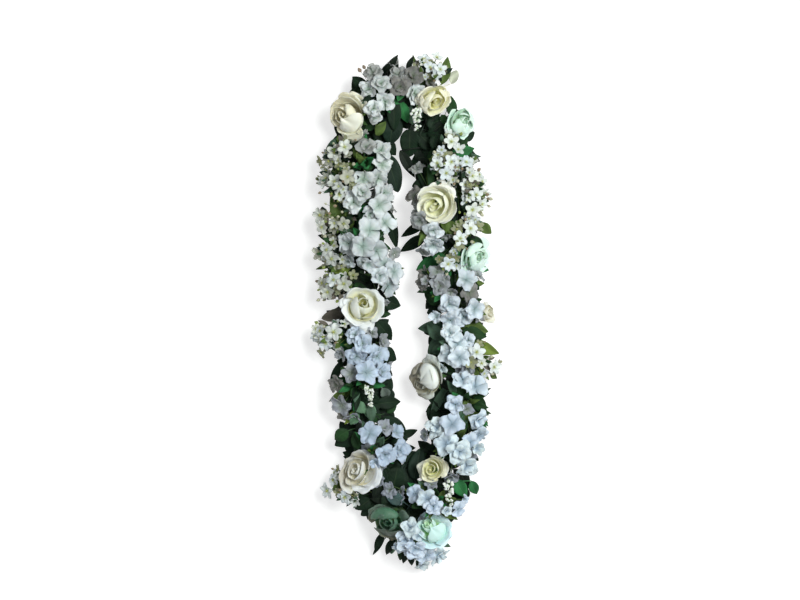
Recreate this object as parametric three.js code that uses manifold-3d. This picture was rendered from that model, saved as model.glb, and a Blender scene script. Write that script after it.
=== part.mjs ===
import * as THREE from 'three';
import Module from 'manifold-3d';

const wasm = await Module();
wasm.setup();

// A fresh flower lei laid on its back. Millimetres; x across, y along the loop, z up from the table.
const CORD_RADIUS = 4.5;
const CORD_HEIGHT = 21;
const CORD_SIDES = 6;
const CORD_STEPS = 44;
const SEAT_GAP = 0.3;
const CLEARANCE = 0.2;
const STRAND_REACH = 46;
const HEAD_LIFT = 29;
const FLORET_SCALE = 1.1;
const BLADE = 0.7;
const STALK_RADIUS = 0.75;
const STALK_RISE = 0.75;
const BRANCH_RADIUS = 1.1;
const HIP_LENGTH = 8;
const LEAFY_STEM_RADIUS = 1.8;
const ROOT_RADIUS = 0.5;
const GROUND_LEAF_LENGTH = 30;
const GROUND_LEAF_WIDTH = 15;

const CREAM = 0xf0ead0;
const MINT = 0xdff2e2;
const PETAL_WHITE = 0xe9ecf4;
const STAR_WHITE = 0xf2f4ec;
const BEAD_WHITE = 0xe6efe0;
const LEAF_GREEN = 0x3c5a34;
const CORD_GREEN = 0x2f4a2c;

// Points that the cord runs through, clockwise from the top.
const CORD_LINE = [
  [-3, 221], [26, 202], [37, 168], [41, 133], [43, 93], [45, 53], [48, 13],
  [49, -27], [50, -67], [49, -102], [46, -137], [38, -168], [24, -197], [6, -210],
  [-10, -202], [-24, -177], [-34, -142], [-39, -107], [-43, -67], [-45, -27],
  [-46, 13], [-47, 53], [-48, 93], [-49, 133], [-49, 170], [-36, 205],
];

// Roses: [x, y, radius, lean x, lean y, height of the bloom's middle above the cord, colour].
const ROSES = [
  [28, 213, 19, 0.15, -0.55, 24, CREAM],
  [-56, 196, 21, -0.75, -0.45, 20, CREAM],
  [54, 190, 17, 1.0, -0.1, 14, MINT],
  [33, 110, 21.5, -0.05, -0.08, 25, CREAM],
  [69, 55, 17, 1.0, -0.15, 14, MINT],
  [-43, 6, 22.5, 0.0, 0.12, 25, CREAM],
  [80, 0, 13, 1.2, 0.1, 12, CREAM],
  [23, -65, 19, -1.1, -0.25, 17, CREAM],
  [-46, -158, 21.5, -0.4, 0.1, 23, CREAM],
  [27, -156, 12.5, -0.35, 0.1, 24, CREAM],
  [-18, -209, 18, -0.35, -0.5, 16, MINT],
  [27, -217, 18, -0.15, 0.3, 24, MINT],
];

// Hydrangea heads: florets as [x, y, radius, height above or below the usual skin].
const HYDRANGEAS = [
  [[-33, 240, 11, -2], [-25, 228, 11, 0], [-37, 223, 10, 2], [-21, 210, 11, 3], [-32, 203, 10, 4]],
  [[-8, 238, 11, -6], [-6, 225, 11, -2], [7, 236, 11, -6], [8, 220, 12, -2]],
  [[-40, 165, 11, 3], [-25, 162, 12, 0], [-24, 148, 11, -2], [-28, 134, 12, 0], [-42, 133, 12, 4]],
  [[-52, 110, 12, 3], [-43, 119, 10, 6], [-22, 120, 11, -2], [-27, 107, 12, 3], [-36, 99, 10, 5]],
  [[-21, 90, 13, 0], [-36, 82, 13, 6], [-57, 69, 13, 0], [-43, 66, 13, 4], [-29, 62, 13, 2]],
  [[-21, 49, 12, 0], [-12, 41, 12, -4], [-26, 37, 11, 3], [-18, 27, 12, 0]],
  [[-51, -22, 11, 2], [-43, -30, 11, 5], [-49, -43, 12, 3], [-29, -43, 13, 0]],
  [[-39, -59, 13, 5], [-24, -59, 11, 0], [-54, -60, 10, -3], [-69, -72, 10, -6], [-64, -92, 12, -3]],
  [[-36, -120, 12, 3], [-36, -138, 11, -3], [-21, -141, 11, 3], [-6, -137, 12, -2]],
  [[12, 145, 9, -5], [9, 117, 12, -5], [14, 92, 11, 0], [27, 82, 11, 2], [27, 68, 12, 2]],
  [[18, 30, 10, -4], [31, 41, 10, -2], [34, 27, 11, 0], [43, 9, 12, 3]],
  [[60, 33, 12, 2], [63, 21, 11, -2], [44, -7, 11, 4], [57, -3, 12, 4], [68, 4, 11, 0]],
  [[44, -20, 11, 4], [51, -30, 11, 6], [42, -41, 11, 3], [53, -44, 12, 4]],
  [[56, -66, 12, 5], [69, -73, 13, 0], [49, -91, 11, 4], [72, -107, 12, -1], [73, -121, 11, -4]],
  [
    [31, -115, 12, 0], [46, -110, 13, 6], [40, -130, 13, 5], [53, -137, 13, 6], [64, -128, 11, 0],
    [60, -152, 13, 3],
  ],
  [[9, -180, 11, 0], [21, -184, 11, 4], [27, -191, 10, 5], [52, -196, 10, -4]],
  [
    [4, -213, 10, 2], [0, -226, 11, -2], [9, -234, 11, 0], [20, -243, 11, 0], [33, -244, 12, -2],
    [16, -254, 9, -4],
  ],
];

// Sprays of small star flowers: [x, y, radius, height above or below the usual skin].
const STAR_SPRAYS = [
  [[18, 254, 7, 0], [31, 257, 7, 0], [24, 245, 7, 3], [34, 243, 7, 5]],
  [[-61, 165, 8, 4], [-71, 160, 8, 0], [-77, 152, 7, -4]],
  [[-58, 135, 8, 4], [-71, 131, 8, 2], [-82, 131, 7, -2]],
  [[-86, 98, 8, 0], [-84, 86, 8, 0], [-62, 89, 7, 2], [-66, 117, 7, 0]],
  [[-87, 60, 8, 0], [-79, 63, 7, 4], [-74, 54, 8, 4]],
  [[-62, 29, 8, 4], [-78, 21, 8, 2], [-72, 33, 8, 4], [-84, 30, 7, -3]],
  [[-72, -19, 9, 4], [-86, -18, 7, 0], [-80, -30, 8, 2]],
  [[-73, -168, 7, 2], [-79, -179, 9, 0], [-61, -184, 8, 4]],
  [[45, 170, 8, 4], [45, 150, 8, 5], [40, 139, 8, 5], [31, 149, 7, 4]],
  [[60, 150, 8, 2], [66, 137, 8, 0], [70, 118, 8, 2], [76, 109, 7, 0], [66, 103, 8, 3]],
  [[64, 84, 8, 3], [54, 74, 8, 5], [42, 49, 8, 4]],
  [[70, -39, 9, 6], [88, -54, 8, 0]],
];

// Drooping sprays of round bells: start and end of each hanging line, [x, y, height above the cord].
const BEAD_SPRAYS = [
  [[10, 205, 26], [12, 182, 16]],
  [[-38, -72, 33], [-35, -92, 26]],
  [[42, -166, 31], [43, -192, 22]],
];

// Leafy stems bound along the cord: side is +1 outside the loop, -1 inside.
// Leaves: [base x, base y, tip x, tip y, width, base height, tip height].
const LEAFY_STEMS = [
  {
    side: -1, from: [-38, 202], to: [26, 200],
    leaves: [
      [-12, 183, -14, 223, 14, 30, 34], [-14, 199, -16, 170, 22, 28, 24], [6, 190, 16, 216, 18, 27, 30],
      [4, 186, 3, 158, 20, 22, 14], [24, 184, 43, 188, 17, 26, 28], [14, 180, 30, 165, 17, 22, 18],
    ],
  },
  {
    side: -1, from: [-49, 165], to: [-48, 92],
    leaves: [
      [-20, 160, -8, 122, 19, 22, 16], [-22, 110, -9, 64, 12, 18, 10], [-42, 157, -40, 148, 8, 42, 46],
      [-24, 176, -10, 160, 14, 16, 10],
    ],
  },
  {
    side: -1, from: [-46, 40], to: [-43, -62],
    leaves: [
      [-26, 14, -5, 7, 15, 24, 16], [-30, -8, -14, -28, 14, 26, 18], [-28, -38, -10, -48, 16, 22, 14],
      [-24, -76, -18, -86, 10, 24, 16], [-26, -24, -22, -34, 10, 30, 34],
    ],
  },
  {
    side: -1, from: [-42, -78], to: [-34, -142],
    leaves: [
      [-30, -92, -5, -90, 13, 24, 16], [-26, -108, 0, -124, 20, 24, 16], [-8, -126, 12, -119, 8, 18, 12],
      [-30, -100, -44, -97, 13, 34, 36], [-24, -122, -8, -140, 16, 16, 8],
    ],
  },
  {
    side: -1, from: [-26, -172], to: [36, -170],
    leaves: [
      [-14, -180, -8, -154, 24, 26, 30], [4, -178, 0, -150, 18, 20, 16], [8, -168, 15, -137, 17, 24, 20],
      [6, -190, 21, -166, 12, 28, 26], [-2, -190, -22, -182, 12, 34, 32],
    ],
  },
  {
    side: -1, from: [48, -118], to: [49, 8],
    leaves: [
      [44, -70, 24, -108, 9, 30, 20], [38, -12, 12, -16, 12, 26, 18], [40, -20, 22, -44, 14, 26, 20],
      [40, -84, 30, -104, 9, 22, 12], [36, 20, 20, 4, 13, 16, 8], [34, -122, 26, -132, 9, 18, 12],
    ],
  },
  {
    side: -1, from: [46, 30], to: [43, 108],
    leaves: [
      [20, 92, -5, 77, 9, 16, 12], [20, 78, -6, 62, 11, 14, 10], [34, 56, 10, 43, 13, 26, 18],
      [28, 61, 34, 46, 6, 34, 38],
    ],
  },
  {
    side: -1, from: [41, 122], to: [34, 178],
    leaves: [
      [26, 158, 4, 150, 18, 14, 8], [24, 150, 11, 131, 13, 18, 10], [16, 176, 0, 160, 13, 10, 5],
      [18, 130, 6, 128, 9, 24, 20],
    ],
  },
  {
    side: 1, from: [-46, 190], to: [20, 211],
    leaves: [
      [-18, 228, -8, 258, 9, 24, 20], [1, 230, 5, 253, 7, 22, 18], [-38, 214, -54, 236, 16, 28, 26],
      [-46, 208, -64, 222, 10, 22, 18], [36, 230, 42, 258, 11, 30, 28], [46, 232, 52, 246, 9, 18, 14],
    ],
  },
  {
    side: 1, from: [-50, 176], to: [-47, 60],
    leaves: [
      [-62, 174, -82, 164, 12, 20, 14], [-62, 80, -76, 117, 13, 34, 36], [-62, 70, -90, 79, 10, 16, 10],
      [-54, 48, -80, 41, 12, 34, 32], [-54, 28, -59, 62, 9, 30, 34], [-70, 52, -92, 44, 5, 16, 12],
      [-56, 148, -76, 144, 10, 18, 12],
    ],
  },
  {
    side: 1, from: [-46, 30], to: [-34, -145],
    leaves: [
      [-60, -26, -68, -47, 13, 34, 32], [-64, -48, -77, -77, 8, 22, 16], [-56, -65, -61, -85, 12, 28, 28],
      [-50, -121, -72, -134, 17, 28, 26], [-44, -122, -51, -141, 13, 32, 34],
      [-48, -97, -62, -112, 7, 30, 32],
      [-62, 2, -86, -6, 12, 16, 10], [-40, -150, -64, -146, 12, 16, 10],
    ],
  },
  {
    side: 1, from: [-26, -174], to: [40, -165],
    leaves: [
      [-60, -168, -74, -178, 10, 32, 30], [-36, -188, -52, -199, 12, 20, 16], [2, -234, -3, -255, 8, 16, 10],
      [14, -245, 11, -259, 5, 14, 10], [-11, -228, -15, -245, 8, 14, 10], [-22, -230, -34, -247, 4, 12, 8],
      [50, -168, 61, -186, 13, 28, 26], [42, -194, 46, -206, 12, 26, 24], [38, -178, 31, -194, 6, 36, 36],
    ],
  },
  {
    side: 1, from: [48, -124], to: [48, 14],
    leaves: [
      [62, -88, 66, -118, 17, 36, 36], [64, -86, 82, -101, 7, 32, 30], [54, -12, 83, -19, 15, 32, 30],
      [64, -30, 94, -41, 13, 30, 28], [60, -46, 64, -66, 9, 36, 36], [54, 14, 72, 26, 11, 30, 28],
      [66, -112, 72, -124, 6, 36, 34], [48, -76, 60, -83, 9, 38, 38], [60, -134, 64, -144, 6, 30, 28],
    ],
  },
  {
    side: 1, from: [46, 34], to: [42, 112],
    leaves: [
      [68, 46, 84, 43, 8, 24, 22], [42, 46, 57, 63, 13, 34, 32], [40, 91, 49, 75, 11, 36, 38],
      [64, 91, 86, 82, 10, 30, 28], [66, 68, 84, 70, 8, 24, 22], [52, 30, 80, 30, 11, 14, 8],
    ],
  },
  {
    side: 1, from: [41, 124], to: [30, 196],
    leaves: [
      [46, 160, 69, 166, 13, 28, 26], [58, 158, 76, 158, 5, 22, 20], [34, 145, 36, 164, 10, 38, 40],
      [62, 140, 76, 139, 8, 26, 24], [52, 126, 60, 112, 9, 30, 30], [56, 176, 70, 184, 11, 12, 8],
    ],
  },
];

function vec(x, y, z) {
  return new THREE.Vector3(x, y, z);
}

function seeded(seed) {
  let state = seed >>> 0;
  return () => {
    state = (state + 0x6d2b79f5) >>> 0;
    let t = state;
    t = Math.imul(t ^ (t >>> 15), t | 1);
    t ^= t + Math.imul(t ^ (t >>> 7), t | 61);
    return ((t ^ (t >>> 14)) >>> 0) / 4294967296;
  };
}

const cordCurve = new THREE.CatmullRomCurve3(
  CORD_LINE.map(([x, y]) => vec(x, y, CORD_HEIGHT)), true, 'centripetal');
cordCurve.arcLengthDivisions = 1500;
const STEP_SAMPLES = 20;
const CORD_SAMPLES = CORD_STEPS * STEP_SAMPLES;
const cordPoints = [];
const cordTangents = [];
for (let i = 0; i < CORD_SAMPLES; i += 1) {
  const step = Math.floor(i / STEP_SAMPLES);
  const here = cordCurve.getPointAt(step / CORD_STEPS);
  const next = cordCurve.getPointAt(((step + 1) % CORD_STEPS) / CORD_STEPS);
  cordPoints.push(here.lerp(next, (i % STEP_SAMPLES) / STEP_SAMPLES));
  cordTangents.push(cordCurve.getTangentAt(i / CORD_SAMPLES));
}

function nearestOnCord(x, y) {
  let best = 0;
  let bestDistance = Infinity;
  cordPoints.forEach((p, i) => {
    const distance = (p.x - x) ** 2 + (p.y - y) ** 2;
    if (distance < bestDistance) {
      best = i;
      bestDistance = distance;
    }
  });
  return best;
}

// Direction pointing out of the loop at a sample; the line runs clockwise.
function outward(index) {
  const tangent = cordTangents[index];
  return vec(-tangent.y, tangent.x, 0).normalize();
}

function skinHeight(x, y, lift) {
  const p = cordPoints[nearestOnCord(x, y)];
  const away = Math.hypot(p.x - x, p.y - y) / STRAND_REACH;
  return CORD_HEIGHT + lift * Math.sqrt(Math.max(0.04, 1 - away * away));
}

function solidFacing(positions, faces) {
  const mesh = new wasm.Mesh({
    numProp: 3,
    vertProperties: positions,
    triVerts: new Uint32Array(faces.flat()),
  });
  return new wasm.Manifold(mesh);
}

// A closed solid from vertices and triangles, turned so that its faces look outward.
function solid(vertices, faces) {
  const positions = new Float32Array(vertices.length * 3);
  vertices.forEach((p, i) => positions.set([p.x, p.y, p.z], i * 3));
  const made = solidFacing(positions, faces);
  if (made.volume() > 0) {
    return made;
  }
  return solidFacing(positions, faces.map(([a, b, c]) => [c, b, a]));
}

// A thin blade of even thickness round an open surface of triangles.
function blade(points, triangles, thickness) {
  const count = points.length;
  const normals = points.map(() => vec(0, 0, 0));
  for (const [a, b, c] of triangles) {
    const n = points[b].clone().sub(points[a]).cross(points[c].clone().sub(points[a]));
    normals[a].add(n);
    normals[b].add(n);
    normals[c].add(n);
  }
  normals.forEach((n) => n.normalize().multiplyScalar(thickness / 2));
  const upper = points.map((p, i) => p.clone().add(normals[i]));
  const lower = points.map((p, i) => p.clone().sub(normals[i]));
  const faces = [];
  const rim = new Map();
  for (const [a, b, c] of triangles) {
    faces.push([a, b, c], [c + count, b + count, a + count]);
    for (const [p, q] of [[a, b], [b, c], [c, a]]) {
      if (rim.has(`${q}_${p}`)) {
        rim.delete(`${q}_${p}`);
      } else {
        rim.set(`${p}_${q}`, [p, q]);
      }
    }
  }
  for (const [p, q] of rim.values()) {
    faces.push([p, p + count, q + count], [p, q + count, q]);
  }
  return solid([...upper, ...lower], faces);
}

// A closed tube through a few points, tapering from one radius to the other.
function tube(points, startRadius, endRadius, sides) {
  const vertices = [];
  const faces = [];
  const last = points.length - 1;
  let across = null;
  points.forEach((p, i) => {
    const along = points[Math.min(last, i + 1)].clone().sub(points[Math.max(0, i - 1)]).normalize();
    if (across === null) {
      const helper = Math.abs(along.z) < 0.9 ? vec(0, 0, 1) : vec(1, 0, 0);
      across = helper.clone().cross(along).normalize();
    }
    across.addScaledVector(along, -across.dot(along)).normalize();
    const third = along.clone().cross(across);
    const radius = startRadius + (endRadius - startRadius) * (i / last);
    for (let k = 0; k < sides; k += 1) {
      const angle = (k / sides) * 2 * Math.PI;
      vertices.push(p.clone()
        .addScaledVector(across, radius * Math.cos(angle))
        .addScaledVector(third, radius * Math.sin(angle)));
    }
  });
  for (let i = 0; i < last; i += 1) {
    for (let k = 0; k < sides; k += 1) {
      const a = i * sides + k;
      const b = i * sides + ((k + 1) % sides);
      faces.push([a, b, b + sides], [a, b + sides, a + sides]);
    }
  }
  for (let k = 1; k < sides - 1; k += 1) {
    faces.push([0, k + 1, k], [last * sides, last * sides + k, last * sides + k + 1]);
  }
  return solid(vertices, faces);
}

function cordRing() {
  const vertices = [];
  const faces = [];
  for (let i = 0; i < CORD_STEPS; i += 1) {
    const index = Math.round((i / CORD_STEPS) * CORD_SAMPLES) % CORD_SAMPLES;
    const out = outward(index);
    for (let k = 0; k < CORD_SIDES; k += 1) {
      const angle = ((k + 0.5) / CORD_SIDES) * 2 * Math.PI;
      vertices.push(cordPoints[index].clone()
        .addScaledVector(out, CORD_RADIUS * Math.cos(angle))
        .add(vec(0, 0, CORD_RADIUS * Math.sin(angle))));
    }
  }
  for (let i = 0; i < CORD_STEPS; i += 1) {
    for (let k = 0; k < CORD_SIDES; k += 1) {
      const a = i * CORD_SIDES + k;
      const b = i * CORD_SIDES + ((k + 1) % CORD_SIDES);
      const c = ((i + 1) % CORD_STEPS) * CORD_SIDES + ((k + 1) % CORD_SIDES);
      const d = ((i + 1) % CORD_STEPS) * CORD_SIDES + k;
      faces.push([a, c, b], [a, d, c]);
    }
  }
  return solid(vertices, faces);
}

// A frame whose z axis points where the flower faces, turned about that axis by the given angle.
function facing(origin, direction, turn) {
  const z = direction.clone().normalize();
  const helper = Math.abs(z.y) < 0.9 ? vec(0, 1, 0) : vec(1, 0, 0);
  const x = helper.clone().cross(z).normalize();
  const y = z.clone().cross(x);
  const at = (a, b, c) => origin.clone()
    .addScaledVector(x, a * Math.cos(turn) - b * Math.sin(turn))
    .addScaledVector(y, a * Math.sin(turn) + b * Math.cos(turn))
    .addScaledVector(z, c);
  return { origin, z, at };
}

function gridTriangles(columns, rows) {
  const triangles = [];
  for (let i = 0; i < columns; i += 1) {
    for (let j = 0; j < rows; j += 1) {
      const a = i * (rows + 1) + j;
      const b = a + rows + 1;
      triangles.push([a, b, b + 1], [a, b + 1, a + 1]);
    }
  }
  return triangles;
}

function rosePetal(frame, turn, width, start, reach, foot, height, roll, columns, rows) {
  const points = [];
  for (let i = 0; i <= columns; i += 1) {
    const v = i / columns - 0.5;
    const edge = 4 * v * v;
    for (let j = 0; j <= rows; j += 1) {
      const t = j / rows;
      const spread = 0.45 + 0.55 * Math.sin(Math.min(1, 1.3 * t) * Math.PI / 2);
      const angle = turn + width * v * spread;
      const radius = start + (reach - start) * Math.sin(t * Math.PI / 2) ** 0.85
        + roll * t ** 4 + 3 * v * t;
      const z = foot + (height - foot) * t - edge * height * 0.2 * t - roll * 0.5 * t ** 4;
      points.push(frame.at(radius * Math.cos(angle), radius * Math.sin(angle), z));
    }
  }
  return blade(points, gridTriangles(columns, rows), BLADE);
}

function roseHeart(frame, radius, height) {
  const rings = [[1.4, -HIP_LENGTH], [4.4, -3.5], [4, 0], [0.34 * radius, 0.44 * height]];
  const sides = 4;
  const vertices = [];
  const faces = [];
  rings.forEach(([r, z]) => {
    for (let k = 0; k < sides; k += 1) {
      const angle = (k / sides) * 2 * Math.PI;
      vertices.push(frame.at(r * Math.cos(angle), r * Math.sin(angle), z));
    }
  });
  for (let i = 0; i < rings.length - 1; i += 1) {
    for (let k = 0; k < sides; k += 1) {
      const a = i * sides + k;
      const b = i * sides + ((k + 1) % sides);
      faces.push([a, b, b + sides], [a, b + sides, a + sides]);
    }
  }
  const top = (rings.length - 1) * sides;
  for (let k = 1; k < sides - 1; k += 1) {
    faces.push([0, k + 1, k], [top, top + k, top + k + 1]);
  }
  return solid(vertices, faces);
}

function roseSpiral(frame, radius, height) {
  const points = [];
  const steps = 5;
  for (let i = 0; i <= steps; i += 1) {
    const t = i / steps;
    const angle = 0.6 + t * 2 * Math.PI;
    const r = radius * (0.14 + 0.26 * t);
    points.push(frame.at(0.6 * r * Math.cos(angle), 0.6 * r * Math.sin(angle), height * 0.32));
    points.push(frame.at(r * Math.cos(angle), r * Math.sin(angle), height * (0.98 - 0.06 * t)));
  }
  return blade(points, gridTriangles(steps, 1), BLADE);
}

function roseBloom(frame, radius, turn) {
  const height = radius * 0.95;
  const pieces = [roseHeart(frame, radius, height), roseSpiral(frame, radius, height)];
  const outer = 4;
  const inner = 2;
  for (let k = 0; k < outer; k += 1) {
    pieces.push(rosePetal(frame, turn + (k / outer) * 2 * Math.PI, 6.6 / outer, 2, radius * 0.86,
      0, height * 0.82, radius * 0.14, 2, 2));
  }
  for (let k = 0; k < inner; k += 1) {
    pieces.push(rosePetal(frame, turn + 0.5 + (k / inner) * 2 * Math.PI, 5.4 / inner, 0.16 * radius,
      radius * 0.6, height * 0.25, height * 0.97, radius * 0.03, 2, 2));
  }
  return pieces;
}

// A flat flower and its stalk in one skin: a thin cupped face with the given rim, carried on a
// three-sided stalk that runs from the face's underside to the root.
function stalkedFlower(frame, rim, root) {
  const thin = BLADE / 2;
  const count = rim.length;
  const vertices = [];
  const faces = [];
  rim.forEach(([x, y, z]) => vertices.push(frame.at(x, y, z + thin)));
  rim.forEach(([x, y, z]) => vertices.push(frame.at(x, y, z - thin)));
  const crown = vertices.length;
  vertices.push(frame.at(0, 0, thin + 0.5));
  const neck = crown + 1;
  const foot = crown + 4;
  const corners = [0, 1, 2].map((k) => (k / 3) * 2 * Math.PI);
  corners.forEach((angle) => vertices.push(frame.at(
    1.1 * Math.cos(angle), 1.1 * Math.sin(angle), -thin - 0.3)));
  corners.forEach((angle) => vertices.push(frame.at(
    ROOT_RADIUS * Math.cos(angle), ROOT_RADIUS * Math.sin(angle), 0).sub(frame.origin).add(root)));
  for (let i = 0; i < count; i += 1) {
    const next = (i + 1) % count;
    faces.push([i, next, crown]);
    faces.push([i, i + count, next + count], [i, next + count, next]);
    const here = Math.floor((i * 3) / count);
    const there = Math.floor(((i + 1) * 3) / count) % 3;
    faces.push([next + count, i + count, neck + here]);
    if (there !== here) {
      faces.push([next + count, neck + here, neck + there]);
    }
  }
  for (let k = 0; k < 3; k += 1) {
    const next = (k + 1) % 3;
    faces.push([neck + next, neck + k, foot + k], [neck + next, foot + k, foot + next]);
  }
  faces.push([foot, foot + 2, foot + 1]);
  return solid(vertices, faces);
}

// Four blunt broad petals, gently cupped.
function floret(frame, radius, cup, root) {
  const rim = [];
  for (let k = 0; k < 4; k += 1) {
    const middle = (k / 4) * 2 * Math.PI;
    const lift = cup * (k % 2 === 0 ? 1 : 0.7);
    for (const [offset, reach, rise] of [[-0.5, 0.92, 1], [0.5, 0.92, 0.85], [Math.PI / 4, 0.36, 0.1]]) {
      const angle = middle + offset;
      rim.push([radius * reach * Math.cos(angle), radius * reach * Math.sin(angle), lift * rise]);
    }
  }
  return stalkedFlower(frame, rim, root);
}

// Five pointed petals.
function starFlower(frame, radius, cup, root) {
  const rim = [];
  for (let k = 0; k < 10; k += 1) {
    const reach = k % 2 === 0 ? radius : radius * 0.5;
    const angle = (k / 10) * 2 * Math.PI;
    rim.push([reach * Math.cos(angle), reach * Math.sin(angle), k % 2 === 0 ? cup : cup * 0.2]);
  }
  return stalkedFlower(frame, rim, root);
}

function bell(centre, radius) {
  const p = centre;
  const vertices = [
    vec(p.x + radius, p.y, p.z), vec(p.x, p.y + radius, p.z), vec(p.x - radius, p.y, p.z),
    vec(p.x, p.y - radius, p.z), vec(p.x, p.y, p.z + radius), vec(p.x, p.y, p.z - radius),
  ];
  const faces = [];
  for (let k = 0; k < 4; k += 1) {
    faces.push([k, (k + 1) % 4, 4], [(k + 1) % 4, k, 5]);
  }
  return solid(vertices, faces);
}

// A leaf and its stalk in one skin. The blade is folded along its midrib and bowed upward; its base is
// the end of a three-sided stalk that starts at the root. A draped leaf lies flat on the table from
// its second station to its tip.
function stalkedLeaf(root, base, tip, width, bow, fold, draped = false) {
  const thin = BLADE / 2;
  const along = tip.clone().sub(base);
  const side = vec(-along.y, along.x, 0).normalize();
  const up = along.clone().cross(side).normalize();
  if (up.z < 0) {
    up.negate();
  }
  const run = base.clone().sub(root).normalize().add(along.clone().normalize()).normalize();
  const neckUp = up.clone().addScaledVector(run, -up.dot(run)).normalize();
  const neckSide = neckUp.clone().cross(run).normalize();
  const stations = width > 12 || draped ? [[0.32, 0.96], [0.68, 0.8]] : [[0.46, 1]];
  const vertices = [];
  const half = width / 2;
  for (const [t, share] of stations) {
    const middle = base.clone().addScaledVector(along, t).addScaledVector(up, bow * 4 * t * (1 - t));
    const left = middle.clone().addScaledVector(side, half * share).addScaledVector(up, fold * share);
    const right = middle.clone().addScaledVector(side, -half * share).addScaledVector(up, fold * share);
    if (draped) {
      for (const p of [left, middle, right]) {
        p.z = t < 0.5 ? base.z * 0.4 : thin * up.z;
      }
    }
    for (const face of [thin, -thin]) {
      for (const p of [left, middle, right]) {
        vertices.push(p.clone().addScaledVector(up, face));
      }
    }
  }
  if (draped) {
    tip.z = thin * up.z;
  }
  const tipTop = vertices.length;
  const tipLow = tipTop + 1;
  vertices.push(tip.clone().addScaledVector(up, thin), tip.clone().addScaledVector(up, -thin));
  const neck = vertices.length;
  const ring = (centre, radius, upward, sideways) => [
    centre.clone().addScaledVector(upward, radius),
    centre.clone().addScaledVector(upward, -radius * 0.6).addScaledVector(sideways, -radius),
    centre.clone().addScaledVector(upward, -radius * 0.6).addScaledVector(sideways, radius),
  ];
  vertices.push(...ring(base, STALK_RADIUS, neckUp, neckSide));
  const stalk = base.clone().sub(root).normalize();
  const footUp = neckUp.clone().addScaledVector(stalk, -neckUp.dot(stalk)).normalize();
  const footSide = footUp.clone().cross(stalk).normalize();
  vertices.push(...ring(root, ROOT_RADIUS, footUp, footSide));
  // The neck's corners: top, then the two low ones, ordered left and right of the blade.
  const leftFirst = vertices[neck + 2].clone().sub(vertices[neck + 1]).dot(side) > 0;
  const top = neck;
  const lowLeft = leftFirst ? neck + 2 : neck + 1;
  const lowRight = leftFirst ? neck + 1 : neck + 2;
  // Each station holds upper left, middle, right, then lower left, middle, right.
  const faces = [
    [top, 2, 1], [top, 1, 0], [lowRight, 4, 5], [lowLeft, 4, lowRight], [lowLeft, 3, 4],
    [top, lowRight, 5], [top, 5, 2], [0, 3, lowLeft], [0, lowLeft, top],
  ];
  for (let i = 0; i < stations.length - 1; i += 1) {
    const a = i * 6;
    const b = a + 6;
    faces.push([a + 2, b + 2, b + 1], [a + 2, b + 1, a + 1], [a + 1, b + 1, b], [a + 1, b, a]);
    faces.push([a + 5, b + 4, b + 5], [a + 5, a + 4, b + 4], [a + 4, b + 3, b + 4], [a + 4, a + 3, b + 3]);
    faces.push([a + 2, a + 5, b + 5], [a + 2, b + 5, b + 2], [b, b + 3, a + 3], [b, a + 3, a]);
  }
  const end = (stations.length - 1) * 6;
  faces.push([end + 2, tipTop, end + 1], [end + 1, tipTop, end]);
  faces.push([end + 5, end + 4, tipLow], [end + 4, end + 3, tipLow]);
  faces.push([end + 2, end + 5, tipLow], [end + 2, tipLow, tipTop]);
  faces.push([tipTop, tipLow, end + 3], [tipTop, end + 3, end]);
  const shift = 3;
  const around = [top, lowLeft, lowRight];
  for (let k = 0; k < 3; k += 1) {
    const a = around[k];
    const b = around[(k + 1) % 3];
    faces.push([a, b, b + shift], [a, b + shift, a + shift]);
  }
  faces.push([top + shift, lowLeft + shift, lowRight + shift]);
  return solid(vertices, faces);
}

const nodes = [];

function addNode(name, colour, roughness) {
  const node = { name, colour, roughness, pieces: [] };
  nodes.push(node);
  return node;
}

function withBounds(piece) {
  return { piece, box: piece.boundingBox() };
}

// Flowers of one node may share their roots, but no more than that.
const ROOT_OVERLAP = 0.8;

function boxesMeet(a, b) {
  for (let axis = 0; axis < 3; axis += 1) {
    if (a.min[axis] > b.max[axis] + CLEARANCE || b.min[axis] > a.max[axis] + CLEARANCE) {
      return false;
    }
  }
  return true;
}

function isClear(candidates, own) {
  for (const candidate of candidates) {
    if (candidate.box.min[2] < -0.001) {
      return false;
    }
    if (candidate.apart) {
      for (const other of own.pieces) {
        if (other.apart && boxesMeet(candidate.box, other.box)
          && candidate.piece.intersect(other.piece).volume() > ROOT_OVERLAP) {
          return false;
        }
      }
    }
    for (const node of nodes) {
      if (node !== own) {
        for (const other of node.pieces) {
          if (boxesMeet(candidate.box, other.box)
            && candidate.piece.minGap(other.piece, CLEARANCE) < CLEARANCE) {
            return false;
          }
        }
      }
    }
  }
  return true;
}

// Tries each way of placing a piece in turn and keeps the first that is clear of every other node.
function placeFirstClear(node, ways, apart = false) {
  for (const way of ways) {
    const candidates = way().map(withBounds);
    candidates.forEach((candidate) => {
      candidate.apart = apart;
    });
    if (isClear(candidates, node)) {
      node.pieces.push(...candidates);
      return;
    }
  }
}

// The line of a stalk from just off the cord's surface to its target. It leaves the upper half of the
// cord square to it, with a knee when the target lies low to the side.
function stalkLine(target, slip) {
  const index = (nearestOnCord(target.x, target.y) + slip + CORD_SAMPLES) % CORD_SAMPLES;
  const centre = cordPoints[index];
  const tangent = cordTangents[index];
  const direction = target.clone().sub(centre);
  direction.addScaledVector(tangent, -direction.dot(tangent)).normalize();
  const low = Math.sin(STALK_RISE);
  if (direction.z >= low) {
    return [centre.clone().addScaledVector(direction, CORD_RADIUS + SEAT_GAP), target];
  }
  direction.z = 0;
  direction.normalize().multiplyScalar(Math.cos(STALK_RISE));
  direction.z = low;
  const root = centre.clone().addScaledVector(direction, CORD_RADIUS + SEAT_GAP);
  return [root, root.clone().addScaledVector(direction, 3), target];
}

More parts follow.
